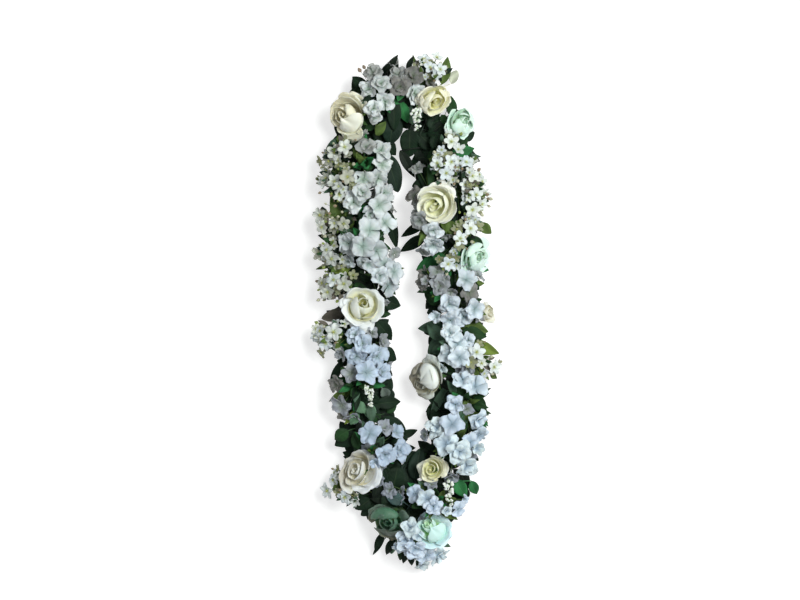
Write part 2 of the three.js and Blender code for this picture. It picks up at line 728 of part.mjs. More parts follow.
const cord = addNode('cord', CORD_GREEN, 0.8);
cord.pieces.push(withBounds(cordRing()));

const leafyStems = LEAFY_STEMS.map((stem, number) => {
  const node = addNode(`foliage_${String(number + 1).padStart(2, '0')}`, LEAF_GREEN, 0.7);
  const start = nearestOnCord(...stem.from);
  const end = nearestOnCord(...stem.to);
  let span = end - start;
  if (span > CORD_SAMPLES / 2) {
    span -= CORD_SAMPLES;
  }
  if (span < -CORD_SAMPLES / 2) {
    span += CORD_SAMPLES;
  }
  // The stem follows the cord's own steps, with a flat or a corner of its triangle toward the cord.
  const steps = Math.max(2, Math.round(Math.abs(span) / STEP_SAMPLES));
  const startStep = Math.round(start / STEP_SAMPLES);
  const way = Math.sign(span);
  const near = stem.side * way < 0 ? LEAFY_STEM_RADIUS : LEAFY_STEM_RADIUS / 2;
  const offset = CORD_RADIUS * Math.cos(Math.PI / CORD_SIDES) + SEAT_GAP + near;
  const line = [];
  for (let i = 0; i <= steps; i += 1) {
    const index = ((startStep + way * i) * STEP_SAMPLES + CORD_SAMPLES) % CORD_SAMPLES;
    line.push(cordPoints[index].clone().addScaledVector(outward(index), stem.side * (offset + 0.15)));
  }
  line[0] = line[0].clone().lerp(line[1], 0.15);
  line[steps] = line[steps].clone().lerp(line[steps - 1], 0.15);
  node.pieces.push(withBounds(tube(line, LEAFY_STEM_RADIUS, LEAFY_STEM_RADIUS, 3)));
  return { node, line, side: stem.side };
});

ROSES.forEach(([x, y, radius, leanX, leanY, rise, colour], number) => {
  const node = addNode(`rose_${String(number + 1).padStart(2, '0')}`, colour, 0.6);
  const random = seeded(101 + number);
  const turn = random() * 6;
  const direction = vec(leanX, leanY, 1).normalize();
  const ways = [];
  for (const push of [0, 2, 4, 6]) {
    for (const [extra, slip] of [[0, 0], [0, 12], [0, -12], [4, 0], [4, 12], [4, -12], [8, 0], [12, 0]]) {
      ways.push(() => {
        const index = nearestOnCord(x, y);
        const out = vec(x - cordPoints[index].x, y - cordPoints[index].y, 0).normalize();
        const middle = vec(x, y, CORD_HEIGHT + rise + extra).addScaledVector(out, push);
        const base = middle.clone().addScaledVector(direction, -0.42 * radius);
        const frame = facing(base, direction, 0);
        const hip = base.clone().addScaledVector(direction, -HIP_LENGTH + 2);
        const stalk = tube(stalkLine(hip, slip), 1.5, 1.4, 4);
        return [...roseBloom(frame, radius, turn), stalk];
      });
    }
  }
  placeFirstClear(node, ways);
});

function clusterHub(items, lift) {
  const middle = vec(0, 0, 0);
  items.forEach(([x, y]) => middle.add(vec(x, y, 0)));
  middle.multiplyScalar(1 / items.length);
  const p = cordPoints[nearestOnCord(middle.x, middle.y)];
  return vec(p.x + 0.42 * (middle.x - p.x), p.y + 0.42 * (middle.y - p.y), CORD_HEIGHT + lift);
}

function cluster(node, items, hubLift, seed, makeFlower) {
  const random = seeded(seed);
  let hub = null;
  let foot = null;
  const hubWays = [];
  for (const extra of [0, 4, -3, 8]) {
    for (const slip of [0, 8, -8, 16, -16, 24, -24]) {
      hubWays.push(() => {
        hub = clusterHub(items, hubLift + extra).addScaledVector(
          cordTangents[nearestOnCord(items[0][0], items[0][1])], slip);
        const line = stalkLine(hub, 0);
        foot = line[line.length - 2];
        return [tube(line, BRANCH_RADIUS * 1.5, BRANCH_RADIUS * 1.3, 4)];
      });
    }
  }
  placeFirstClear(node, hubWays);
  items.forEach(([x, y, radius, extra], number) => {
    const turn = random() * Math.PI;
    const cup = radius * (0.18 + 0.16 * random());
    const ways = [];
    for (const shift of [0, 3, 6]) {
      for (const raise of [0, 4, -4, 8, -8, 12]) {
        for (const lean of [0, 0.5]) {
          ways.push(() => {
            const p = cordPoints[nearestOnCord(x, y)];
            const out = vec(x - p.x, y - p.y, 0);
            out.normalize().multiplyScalar(shift);
            const centre = vec(x, y, skinHeight(x, y, HEAD_LIFT) + extra + raise).add(out);
            const away = centre.clone().sub(hub).normalize();
            const direction = away.clone().multiplyScalar(0.8 + lean).add(vec(0, 0, 0.7));
            const frame = facing(centre, direction, turn);
            const along = (number + 1) / (items.length + 1);
            const sunk = foot.clone().lerp(hub, 0.35 + 0.6 * along);
            return [makeFlower(frame, radius, cup, sunk)];
          });
        }
      }
    }
    placeFirstClear(node, ways, true);
  });
}

HYDRANGEAS.forEach((florets, number) => {
  const node = addNode(`hydrangea_${String(number + 1).padStart(2, '0')}`, PETAL_WHITE, 0.6);
  cluster(node, florets.map(([x, y, radius, extra]) => [x, y, radius * FLORET_SCALE, extra]), 13,
    301 + number, floret);
});

STAR_SPRAYS.forEach((stars, number) => {
  const node = addNode(`star_spray_${String(number + 1).padStart(2, '0')}`, STAR_WHITE, 0.6);
  cluster(node, stars, 8, 501 + number, starFlower);
});

BEAD_SPRAYS.forEach(([start, end], number) => {
  const node = addNode(`bead_spray_${String(number + 1).padStart(2, '0')}`, BEAD_WHITE, 0.5);
  const ways = [];
  for (const raise of [0, 4, 8, 12, -4, -8]) {
    for (const slip of [0, 10, -10, 20, -20, 30, -30]) {
      ways.push(() => {
        const top = vec(start[0], start[1], CORD_HEIGHT + start[2] + raise);
        const foot = vec(end[0], end[1], CORD_HEIGHT + end[2] + raise);
        const pieces = [tube([...stalkLine(top, slip), foot], BRANCH_RADIUS, STALK_RADIUS, 3)];
        for (let k = 0; k < 6; k += 1) {
          const at = top.clone().lerp(foot, (k + 0.5) / 6);
          const swing = k % 2 === 0 ? 1 : -1;
          pieces.push(bell(at.add(vec(swing * 1.5, 0, 0.5 * swing)), 2.1));
        }
        return pieces;
      });
    }
  }
  placeFirstClear(node, ways);
});

function nearestOnLine(line, x, y) {
  let best = null;
  let bestDistance = Infinity;
  for (let i = 0; i < line.length - 1; i += 1) {
    for (let t = 0.1; t <= 0.9; t += 0.2) {
      const p = line[i].clone().lerp(line[i + 1], t);
      const distance = Math.hypot(p.x - x, p.y - y);
      if (distance < bestDistance) {
        best = p;
        bestDistance = distance;
      }
    }
  }
  return best;
}

// Leaves of each stem hang down on both sides of it, and their ends lie flat on the table.
leafyStems.forEach(({ node, line, side }, number) => {
  const spots = line.length > 6 ? [[0.25, 5, 1], [0.75, 5, 0.9]] : [[0.5, 5, 1]];
  for (const [place, reach, share] of spots) {
    const root = line[0].clone().lerp(line[1], 0.5);
    const spot = place * (line.length - 1);
    const step = Math.min(line.length - 2, Math.floor(spot));
    root.lerpVectors(line[step], line[step + 1], 0.2 + 0.6 * (spot - step));
    const index = nearestOnCord(root.x, root.y);
    const out = outward(index).multiplyScalar(side);
    const tangent = cordTangents[index];
    const ways = [];
    for (const slant of [0.7, -0.7, 1.3, -1.3, 0.2]) {
      for (const extra of [0, 3, -3]) {
        ways.push(() => {
          const length = GROUND_LEAF_LENGTH * (side < 0 ? 0.75 : 1) * share;
          const base = root.clone().addScaledVector(out, reach + extra);
          base.z = CORD_HEIGHT - 7;
          const run = out.clone().addScaledVector(tangent, slant).normalize().multiplyScalar(length);
          const tip = base.clone().add(run);
          tip.z = 0;
          return [stalkedLeaf(root, base, tip, GROUND_LEAF_WIDTH * (side < 0 ? 0.8 : 1), 0, 0, true)];
        });
      }
    }
    placeFirstClear(node, ways);
  }
});

leafyStems.forEach(({ node, line }, number) => {
  LEAFY_STEMS[number].leaves.forEach(([bx, by, tx, ty, width, baseHeight, tipHeight]) => {
    const ways = [];
    for (const raise of [0, -3, 3, -6, 6, -9, 9]) {
      for (const shrink of [1, 0.82]) {
        for (const swing of [0, 0.2, -0.2]) {
          ways.push(() => {
            const base = vec(bx, by, baseHeight + raise);
            const along = vec(tx - bx, ty - by, tipHeight - baseHeight).applyAxisAngle(vec(0, 0, 1), swing);
            const tip = base.clone().addScaledVector(along, shrink);
            const root = nearestOnLine(line, bx - 0.4 * (tx - bx), by - 0.4 * (ty - by));
            return [stalkedLeaf(root, base, tip, width * shrink, 2, -0.9)];
          });
        }
      }
    }
    placeFirstClear(node, ways, true);
  });
});

const group = new THREE.Group();
const meshes = [];
const whole = new THREE.Box3();
for (const node of nodes) {
  if (node.pieces.length > 0) {
    const body = wasm.Manifold.union(node.pieces.map(({ piece }) => piece));
    const data = body.getMesh();
    const positions = new Float32Array(data.numVert * 3);
    for (let i = 0; i < data.numVert; i += 1) {
      for (let axis = 0; axis < 3; axis += 1) {
        positions[i * 3 + axis] = data.vertProperties[i * data.numProp + axis];
      }
    }
    const geometry = new THREE.BufferGeometry();
    geometry.setAttribute('position', new THREE.BufferAttribute(positions, 3));
    geometry.setIndex(Array.from(data.triVerts));
    geometry.computeBoundingBox();
    whole.union(geometry.boundingBox);
    const material = new THREE.MeshStandardMaterial({
      color: node.colour,
      roughness: node.roughness,
      metalness: 0,
    });
    const mesh = new THREE.Mesh(geometry, material);
    mesh.name = node.name;
    meshes.push(mesh);
  }
}
// The origin is the middle of the footprint, on the table.
const shift = vec(
  -(whole.min.x + whole.max.x) / 2,
  -(whole.min.y + whole.max.y) / 2,
  -whole.min.z,
);
for (const mesh of meshes) {
  mesh.geometry.translate(shift.x, shift.y, shift.z);
  mesh.geometry.computeVertexNormals();
  group.add(mesh);
}

export default group;
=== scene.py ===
import itertools
import math
from types import SimpleNamespace

import bpy
import numpy as np
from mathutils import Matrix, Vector
from mathutils.kdtree import KDTree


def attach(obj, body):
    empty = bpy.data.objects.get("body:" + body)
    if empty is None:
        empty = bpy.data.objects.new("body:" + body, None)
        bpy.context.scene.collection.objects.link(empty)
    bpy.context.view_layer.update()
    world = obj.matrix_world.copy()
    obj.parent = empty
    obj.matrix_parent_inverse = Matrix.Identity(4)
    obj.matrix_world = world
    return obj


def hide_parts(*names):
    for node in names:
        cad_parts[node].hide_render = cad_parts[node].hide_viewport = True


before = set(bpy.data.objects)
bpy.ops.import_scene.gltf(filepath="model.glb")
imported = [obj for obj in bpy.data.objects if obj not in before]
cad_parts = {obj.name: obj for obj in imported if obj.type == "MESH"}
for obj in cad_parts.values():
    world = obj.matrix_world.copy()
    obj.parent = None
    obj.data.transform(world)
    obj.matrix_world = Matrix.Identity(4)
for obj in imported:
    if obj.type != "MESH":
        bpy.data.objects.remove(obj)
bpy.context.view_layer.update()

# A fresh flower lei, laid on its back. All sizes are millimetres until a mesh is made: x across, y along
# the loop, z up from the surface that it lies on. The lists repeat those of the part's source.
CORD_RADIUS = 4.5
CORD_HEIGHT = 21.0
CORD_STEPS = 44
STEP_SAMPLES = 20
CORD_SAMPLES = CORD_STEPS * STEP_SAMPLES
ROOT_GAP = 0.3  # between the cord's skin and a stalk's root
ROOT_ANGLE = 0.75  # the least slope, in radians, at which a stalk leaves the cord
STRAND_REACH = 46.0  # how far the flowers reach from the cord
HEAD_LIFT = 29.0  # how high their crown stands over it
FLORET_SCALE = 1.1
HIP_LENGTH = 8.0
HUB_SHARE = 0.42  # how far a cluster's hub lies from the cord towards the middle of its flowers
STALK_RADIUS = 0.75

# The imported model's origin is the middle of the footprint; the lists are drawn about the cord.
SHIFT = np.array([-0.9686, -0.7856, 0.0])
MM = 0.001
UP = np.array([0.0, 0.0, 1.0])
FULL = 2 * math.pi

# Points that the cord runs through, clockwise from the top.
CORD_LINE = [
    (-3, 221), (26, 202), (37, 168), (41, 133), (43, 93), (45, 53), (48, 13),
    (49, -27), (50, -67), (49, -102), (46, -137), (38, -168), (24, -197), (6, -210),
    (-10, -202), (-24, -177), (-34, -142), (-39, -107), (-43, -67), (-45, -27),
    (-46, 13), (-47, 53), (-48, 93), (-49, 133), (-49, 170), (-36, 205),
]

# Each rose: place, radius, lean across and along the loop, height over the cord, and colour.
ROSES = [
    (28, 213, 19, 0.15, -0.55, 24, "cream"),
    (-56, 196, 21, -0.75, -0.45, 20, "cream"),
    (54, 190, 17, 1.0, -0.1, 14, "mint"),
    (33, 110, 21.5, -0.05, -0.08, 25, "cream"),
    (69, 55, 17, 1.0, -0.15, 14, "mint"),
    (-43, 6, 22.5, 0.0, 0.12, 25, "cream"),
    (80, 0, 13, 1.2, 0.1, 12, "cream"),
    (23, -65, 19, -1.1, -0.25, 17, "cream"),
    (-46, -158, 21.5, -0.4, 0.1, 23, "cream"),
    (27, -156, 12.5, -0.35, 0.1, 24, "cream"),
    (-18, -209, 18, -0.35, -0.5, 16, "mint"),
    (27, -217, 18, -0.15, 0.3, 24, "mint"),
]

# Each floret of a cluster: place, radius, and height over the crown of the strand.
HYDRANGEAS = [
    [(-33, 240, 11, -2), (-25, 228, 11, 0), (-37, 223, 10, 2), (-21, 210, 11, 3), (-32, 203, 10, 4)],
    [(-8, 238, 11, -6), (-6, 225, 11, -2), (7, 236, 11, -6), (8, 220, 12, -2)],
    [(-40, 165, 11, 3), (-25, 162, 12, 0), (-24, 148, 11, -2), (-28, 134, 12, 0), (-42, 133, 12, 4)],
    [(-52, 110, 12, 3), (-43, 119, 10, 6), (-22, 120, 11, -2), (-27, 107, 12, 3), (-36, 99, 10, 5)],
    [(-21, 90, 13, 0), (-36, 82, 13, 6), (-57, 69, 13, 0), (-43, 66, 13, 4), (-29, 62, 13, 2)],
    [(-21, 49, 12, 0), (-12, 41, 12, -4), (-26, 37, 11, 3), (-18, 27, 12, 0)],
    [(-51, -22, 11, 2), (-43, -30, 11, 5), (-49, -43, 12, 3), (-29, -43, 13, 0)],
    [(-39, -59, 13, 5), (-24, -59, 11, 0), (-54, -60, 10, -3), (-69, -72, 10, -6), (-64, -92, 12, -3)],
    [(-36, -120, 12, 3), (-36, -138, 11, -3), (-21, -141, 11, 3), (-6, -137, 12, -2)],
    [(12, 145, 9, -5), (9, 117, 12, -5), (14, 92, 11, 0), (27, 82, 11, 2), (27, 68, 12, 2)],
    [(18, 30, 10, -4), (31, 41, 10, -2), (34, 27, 11, 0), (43, 9, 12, 3)],
    [(60, 33, 12, 2), (63, 21, 11, -2), (44, -7, 11, 4), (57, -3, 12, 4), (68, 4, 11, 0)],
    [(44, -20, 11, 4), (51, -30, 11, 6), (42, -41, 11, 3), (53, -44, 12, 4)],
    [(56, -66, 12, 5), (69, -73, 13, 0), (49, -91, 11, 4), (72, -107, 12, -1), (73, -121, 11, -4)],
    [
        (31, -115, 12, 0), (46, -110, 13, 6), (40, -130, 13, 5), (53, -137, 13, 6), (64, -128, 11, 0),
        (60, -152, 13, 3),
    ],
    [(9, -180, 11, 0), (21, -184, 11, 4), (27, -191, 10, 5), (52, -196, 10, -4)],
    [
        (4, -213, 10, 2), (0, -226, 11, -2), (9, -234, 11, 0), (20, -243, 11, 0), (33, -244, 12, -2),
        (16, -254, 9, -4),
    ],
]

# Each star flower of a spray, in the same way.
STAR_SPRAYS = [
    [(18, 254, 7, 0), (31, 257, 7, 0), (24, 245, 7, 3), (34, 243, 7, 5)],
    [(-61, 165, 8, 4), (-71, 160, 8, 0), (-77, 152, 7, -4)],
    [(-58, 135, 8, 4), (-71, 131, 8, 2), (-82, 131, 7, -2)],
    [(-86, 98, 8, 0), (-84, 86, 8, 0), (-62, 89, 7, 2), (-66, 117, 7, 0)],
    [(-87, 60, 8, 0), (-79, 63, 7, 4), (-74, 54, 8, 4)],
    [(-62, 29, 8, 4), (-78, 21, 8, 2), (-72, 33, 8, 4), (-84, 30, 7, -3)],
    [(-72, -19, 9, 4), (-86, -18, 7, 0), (-80, -30, 8, 2)],
    [(-73, -168, 7, 2), (-79, -179, 9, 0), (-61, -184, 8, 4)],
    [(45, 170, 8, 4), (45, 150, 8, 5), (40, 139, 8, 5), (31, 149, 7, 4)],
    [(60, 150, 8, 2), (66, 137, 8, 0), (70, 118, 8, 2), (76, 109, 7, 0), (66, 103, 8, 3)],
    [(64, 84, 8, 3), (54, 74, 8, 5), (42, 49, 8, 4)],
    [(70, -39, 9, 6), (88, -54, 8, 0)],
]

# Each drooping spray: the top and the end of its arc, with heights over the cord.
BEAD_SPRAYS = [
    [(10, 205, 26), (12, 182, 16)],
    [(-38, -72, 33), (-35, -92, 26)],
    [(42, -166, 31), (43, -192, 22)],
]

# Each leafy stem: its side of the cord (-1 inside the loop), where it starts and ends, and its leaves
# as base, tip, width, and heights of base and tip.
LEAFY_STEMS = [
    (-1, (-38, 202), (26, 200), [
        (-12, 183, -14, 223, 14, 30, 34), (-14, 199, -16, 170, 22, 28, 24), (6, 190, 16, 216, 18, 27, 30),
        (4, 186, 3, 158, 20, 22, 14), (24, 184, 43, 188, 17, 26, 28), (14, 180, 30, 165, 17, 22, 18),
    ]),
    (-1, (-49, 165), (-48, 92), [
        (-20, 160, -8, 122, 19, 22, 16), (-22, 110, -9, 64, 12, 18, 10), (-42, 157, -40, 148, 8, 42, 46),
        (-24, 176, -10, 160, 14, 16, 10),
    ]),
    (-1, (-46, 40), (-43, -62), [
        (-26, 14, -5, 7, 15, 24, 16), (-30, -8, -14, -28, 14, 26, 18), (-28, -38, -10, -48, 16, 22, 14),
        (-24, -76, -18, -86, 10, 24, 16), (-26, -24, -22, -34, 10, 30, 34),
    ]),
    (-1, (-42, -78), (-34, -142), [
        (-30, -92, -5, -90, 13, 24, 16), (-26, -108, 0, -124, 20, 24, 16), (-8, -126, 12, -119, 8, 18, 12),
        (-30, -100, -44, -97, 13, 34, 36), (-24, -122, -8, -140, 16, 16, 8),
    ]),
    (-1, (-26, -172), (36, -170), [
        (-14, -180, -8, -154, 24, 26, 30), (4, -178, 0, -150, 18, 20, 16), (8, -168, 15, -137, 17, 24, 20),
        (6, -190, 21, -166, 12, 28, 26), (-2, -190, -22, -182, 12, 34, 32),
    ]),
    (-1, (48, -118), (49, 8), [
        (44, -70, 24, -108, 9, 30, 20), (38, -12, 12, -16, 12, 26, 18), (40, -20, 22, -44, 14, 26, 20),
        (40, -84, 30, -104, 9, 22, 12), (36, 20, 20, 4, 13, 16, 8), (34, -122, 26, -132, 9, 18, 12),
    ]),
    (-1, (46, 30), (43, 108), [
        (20, 92, -5, 77, 9, 16, 12), (20, 78, -6, 62, 11, 14, 10), (34, 56, 10, 43, 13, 26, 18),
        (28, 61, 34, 46, 6, 34, 38),
    ]),
    (-1, (41, 122), (34, 178), [
        (26, 158, 4, 150, 18, 14, 8), (24, 150, 11, 131, 13, 18, 10), (16, 176, 0, 160, 13, 10, 5),
        (18, 130, 6, 128, 9, 24, 20),
    ]),
    (1, (-46, 190), (20, 211), [
        (-18, 228, -8, 258, 9, 24, 20), (1, 230, 5, 253, 7, 22, 18), (-38, 214, -54, 236, 16, 28, 26),
        (-46, 208, -64, 222, 10, 22, 18), (36, 230, 42, 258, 11, 30, 28), (46, 232, 52, 246, 9, 18, 14),
    ]),
    (1, (-50, 176), (-47, 60), [
        (-62, 174, -82, 164, 12, 20, 14), (-62, 80, -76, 117, 13, 34, 36), (-62, 70, -90, 79, 10, 16, 10),
        (-54, 48, -80, 41, 12, 34, 32), (-54, 28, -59, 62, 9, 30, 34), (-70, 52, -92, 44, 5, 16, 12),
        (-56, 148, -76, 144, 10, 18, 12),
    ]),
    (1, (-46, 30), (-34, -145), [
        (-60, -26, -68, -47, 13, 34, 32), (-64, -48, -77, -77, 8, 22, 16), (-56, -65, -61, -85, 12, 28, 28),
        (-50, -121, -72, -134, 17, 28, 26), (-44, -122, -51, -141, 13, 32, 34),
        (-48, -97, -62, -112, 7, 30, 32), (-62, 2, -86, -6, 12, 16, 10), (-40, -150, -64, -146, 12, 16, 10),
    ]),
    (1, (-26, -174), (40, -165), [
        (-60, -168, -74, -178, 10, 32, 30), (-36, -188, -52, -199, 12, 20, 16),
        (2, -234, -3, -255, 8, 16, 10), (14, -245, 11, -259, 5, 14, 10), (-11, -228, -15, -245, 8, 14, 10),
        (-22, -230, -34, -247, 4, 12, 8), (50, -168, 61, -186, 13, 28, 26),
        (42, -194, 46, -206, 12, 26, 24), (38, -178, 31, -194, 6, 36, 36),
    ]),
    (1, (48, -124), (48, 14), [
        (62, -88, 66, -118, 17, 36, 36), (64, -86, 82, -101, 7, 32, 30), (54, -12, 83, -19, 15, 32, 30),
        (64, -30, 94, -41, 13, 30, 28), (60, -46, 64, -66, 9, 36, 36), (54, 14, 72, 26, 11, 30, 28),
        (66, -112, 72, -124, 6, 36, 34), (48, -76, 60, -83, 9, 38, 38), (60, -134, 64, -144, 6, 30, 28),
    ]),
    (1, (46, 34), (42, 112), [
        (68, 46, 84, 43, 8, 24, 22), (42, 46, 57, 63, 13, 34, 32), (40, 91, 49, 75, 11, 36, 38),
        (64, 91, 86, 82, 10, 30, 28), (66, 68, 84, 70, 8, 24, 22), (52, 30, 80, 30, 11, 14, 8),
    ]),
    (1, (41, 124), (30, 196), [
        (46, 160, 69, 166, 13, 28, 26), (58, 158, 76, 158, 5, 22, 20), (34, 145, 36, 164, 10, 38, 40),
        (62, 140, 76, 139, 8, 26, 24), (52, 126, 60, 112, 9, 30, 30), (56, 176, 70, 184, 11, 12, 8),
    ]),
]

# More leaves that the photograph shows: base, tip, width, heights of base and tip, colour.
MORE_LEAVES = [
    (-16, -131, 2, -128, 9, 18, 12, "d"), (-14, -138, 10, -137, 10, 20, 14, "k"),
    (-8, -150, 12, -141, 11, 18, 14, "d"), (2, -152, 22, -150, 12, 20, 16, "e"),
    (28, -141, 12, -130, 10, 18, 12, "d"), (33, -149, 15, -142, 11, 20, 13, "k"),
    (-4, -160, 14, -158, 12, 18, 15, "d"), (-24, -152, -6, -146, 11, 21, 16, "d"),
    (8, -146, 26, -136, 9, 16, 14, "l"), (-12, -228, -20, -246, 8, 18, 10, "d"),
    (-4, -233, -6, -252, 8, 17, 9, "l"), (-22, -222, -32, -240, 7, 17, 11, "d"),
    (-33, -196, -46, -206, 9, 18, 12, "d"), (4, -240, 6, -257, 7, 16, 10, "d"),
    (-28, -170, -34, -186, 10, 20, 14, "k"), (60, -140, 74, -150, 9, 22, 16, "d"),
    (66, -170, 72, -184, 10, 20, 14, "b"), (58, -176, 62, -190, 9, 18, 13, "d"),
    (57, -17, 81, -24, 13, 38, 33, "l"), (60, -32, 87, -39, 13, 34, 27, "o"),
    (70, -40, 86, -58, 7, 32, 26, "y"), (62, -36, 57, -54, 9, 40, 39, "l"),
    (66, -84, 81, -94, 10, 34, 28, "l"), (59, -88, 55, -112, 13, 43, 41, "o"),
    (42, -80, 58, -85, 9, 36, 40, "d"), (50, -69, 60, -84, 10, 42, 40, "l"),
    (-56, -31, -68, -46, 13, 36, 29, "b"), (34, 54, 19, 43, 13, 27, 22, "b"),
    (40, 45, 31, 62, 10, 36, 38, "b"), (46, 49, 53, 66, 9, 40, 40, "b"),
    (-13, 242, -8, 256, 7, 24, 29, "k"), (2, 245, 6, 254, 5, 26, 30, "k"),
    (-5, 212, 2, 191, 11, 33, 28, "b"), (-52, -90, -39, -100, 11, 40, 40, "m"),
    (-36, -92, -34, -110, 9, 40, 38, "g"), (-48, -100, -56, -112, 9, 38, 34, "m"),
    (-58, -118, -72, -128, 13, 34, 28, "l"), (-52, -120, -42, -139, 13, 36, 33, "l"),
    (37, -26, 21, -11, 13, 37, 30, "g"), (40, -34, 26, -40, 10, 36, 30, "g"),
    (42, 92, 50, 76, 11, 45, 43, "o"), (74, 90, 86, 80, 10, 32, 26, "o"), (64, 76, 78, 66, 10, 36, 30, "l"),
    (72, -50, 84, -68, 5, 33, 28, "y"), (76, -48, 92, -61, 5, 32, 26, "y"),
    (68, -54, 76, -71, 5, 34, 29, "o"), (-40, 108, -46, 92, 9, 42, 42, "b"),
    (-46, 152, -34, 144, 9, 40, 40, "b"), (-50, 122, -58, 112, 9, 40, 36, "o"),
    (-34, 152, -40, 140, 8, 38, 40, "l"), (-48, 96, -40, 84, 9, 38, 40, "l"),
    (-52, 94, -64, 84, 10, 36, 30, "o"), (-60, 44, -76, 38, 9, 32, 27, "y"),
    (-30, 178, -20, 192, 9, 36, 36, "o"), (-60, 150, -52, 140, 9, 40, 40, "o"),
    (-19, 243, -8, 259, 7, 30, 36, "k"), (1, 244, 8, 258, 5, 34, 38, "k"),
    (-6, 164, 9, 137, 10, 20, 14, "k"), (-40, 223, -54, 238, 12, 32, 29, "d"),
    (-38, 214, -56, 224, 9, 30, 26, "l"), (-66, 104, -80, 96, 8, 30, 24, "o"),
    (-70, 82, -82, 76, 8, 28, 23, "l"), (-64, 140, -78, 134, 8, 30, 24, "o"),
]


# ---------------------------------------------------------------- small helpers

def seeded(seed):
    """A source of draws from 0 to 1 that gives the same ones on each run."""
    mask = 0xFFFFFFFF
    state = seed & mask

    def draw():
        nonlocal state
        state = (state + 0x6D2B79F5) & mask
        t = ((state ^ (state >> 15)) * (state | 1)) & mask
        t = (t ^ (t + (((t ^ (t >> 7)) * (t | 61)) & mask))) & mask
        return ((t ^ (t >> 14)) & mask) / (mask + 1)
    return draw


def choose(rnd, options):
    return options[int(rnd() * len(options))]


def unit(v):
    v = np.asarray(v, float)
    return v / max(1e-9, np.linalg.norm(v))


def blend(a, b, t):
    t = np.clip(t, 0, 1)
    return np.asarray(a) * (1 - t) + np.asarray(b) * t


def smooth(t):
    t = np.clip(t, 0, 1)
    return t * t * (3 - 2 * t)


def turned(x, y, angle):
    return x * math.cos(angle) - y * math.sin(angle), x * math.sin(angle) + y * math.cos(angle)


def axes(columns, rows):
    """Across a sheet from -1 to 1, as a column, and along it from 0 to 1, as a row."""
    return np.linspace(-1, 1, columns)[:, None], np.linspace(0, 1, rows)[None, :]


# ---------------------------------------------------------------- the cord's line

def cord_points():
    """Points and directions along the cord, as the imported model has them, and its length."""
    line = np.array(CORD_LINE, float)
    count = len(line)
    dense = []
    for i in range(count):
        p0, p1, p2, p3 = (line[(i + k - 1) % count] for k in range(4))
        d01, d12, d23 = (np.linalg.norm(b - a) ** 0.5 for a, b in ((p0, p1), (p1, p2), (p2, p3)))
        m1 = ((p1 - p0) / d01 - (p2 - p0) / (d01 + d12) + (p2 - p1) / d12) * d12
        m2 = ((p2 - p1) / d12 - (p3 - p1) / (d12 + d23) + (p3 - p2) / d23) * d12
        c2 = 3 * (p2 - p1) - 2 * m1 - m2
        c3 = 2 * (p1 - p2) + m1 + m2
        for t in np.arange(0, 1, 1 / 60):
            dense.append(p1 + m1 * t + c2 * t * t + c3 * t * t * t)
    dense = np.array(dense + [dense[0]])
    lengths = np.concatenate([[0], np.cumsum(np.linalg.norm(np.diff(dense, axis=0), axis=1))])

    def at(share):
        s = (share % 1.0) * lengths[-1]
        return np.array([np.interp(s, lengths, dense[:, k]) for k in range(2)])

    points = []
    tangents = []
    for i in range(CORD_SAMPLES):
        step = i // STEP_SAMPLES
        here = at(step / CORD_STEPS)
        there = at((step + 1) / CORD_STEPS)
        points.append([*(here + (there - here) * ((i % STEP_SAMPLES) / STEP_SAMPLES)), CORD_HEIGHT])
        tangents.append([*unit(at((i + 0.4) / CORD_SAMPLES) - at((i - 0.4) / CORD_SAMPLES)), 0.0])
    return np.array(points), np.array(tangents), lengths[-1]


CORD, TANGENTS, CORD_LENGTH = cord_points()
OUTWARD = np.stack([-TANGENTS[:, 1], TANGENTS[:, 0], np.zeros(len(TANGENTS))], 1)


def nearest(x, y):
    """Which of the cord's points lies nearest in plan."""
    return int(np.argmin((CORD[:, 0] - x) ** 2 + (CORD[:, 1] - y) ** 2))


def off_cord(point):
    """The way in plan from the cord to the point."""
    step = np.array(point[:2]) - CORD[nearest(point[0], point[1])][:2]
    return np.array([*step, 0.0])


def reach_from_cord(point):
    return np.linalg.norm(off_cord(point))


def skin_height(x, y):
    """How high the crown of the strand is here."""
    away = reach_from_cord((x, y)) / STRAND_REACH
    return CORD_HEIGHT + HEAD_LIFT * math.sqrt(max(0.04, 1 - away * away))


def stalk_line(target):
    """A stalk from the nearest place of the cord to the target."""
    index = nearest(target[0], target[1])
    centre = CORD[index]
    direction = target - centre
    direction = unit(direction - TANGENTS[index] * direction.dot(TANGENTS[index]))
    if direction[2] >= math.sin(ROOT_ANGLE):
        return [centre + direction * (CORD_RADIUS + ROOT_GAP), target]
    shade_level = unit([direction[0], direction[1], 0])
    direction = shade_level * math.cos(ROOT_ANGLE) + UP * math.sin(ROOT_ANGLE)
    root = centre + direction * (CORD_RADIUS + ROOT_GAP)
    return [root, root + direction * 3, target]


class Face:
    """A frame at origin whose z axis points where the flower faces."""

    def __init__(self, origin, direction, turn=0.0):
        z = unit(direction)
        helper = np.array([0, 1, 0.0]) if abs(z[1]) < 0.9 else np.array([1.0, 0, 0])
        x = unit(np.cross(helper, z))
        y = np.cross(z, x)
        self.origin = np.asarray(origin, float)
        self.x = x * math.cos(turn) + y * math.sin(turn)
        self.y = -x * math.sin(turn) + y * math.cos(turn)
        self.z = z

    def at(self, a, b, c):
        return (self.origin + np.multiply.outer(a, self.x) + np.multiply.outer(b, self.y)
                + np.multiply.outer(c, self.z))

    def axis(self, heights):
        return self.at(0 * heights, 0 * heights, heights)

    def ring(self, turn):
        """The way out from the middle at this turn."""
        return self.x * math.cos(turn) + self.y * math.sin(turn)


# ---------------------------------------------------------------- mesh building

PETAL, GREEN, STEM, CENTRE = range(4)  # the materials of a flower's piece


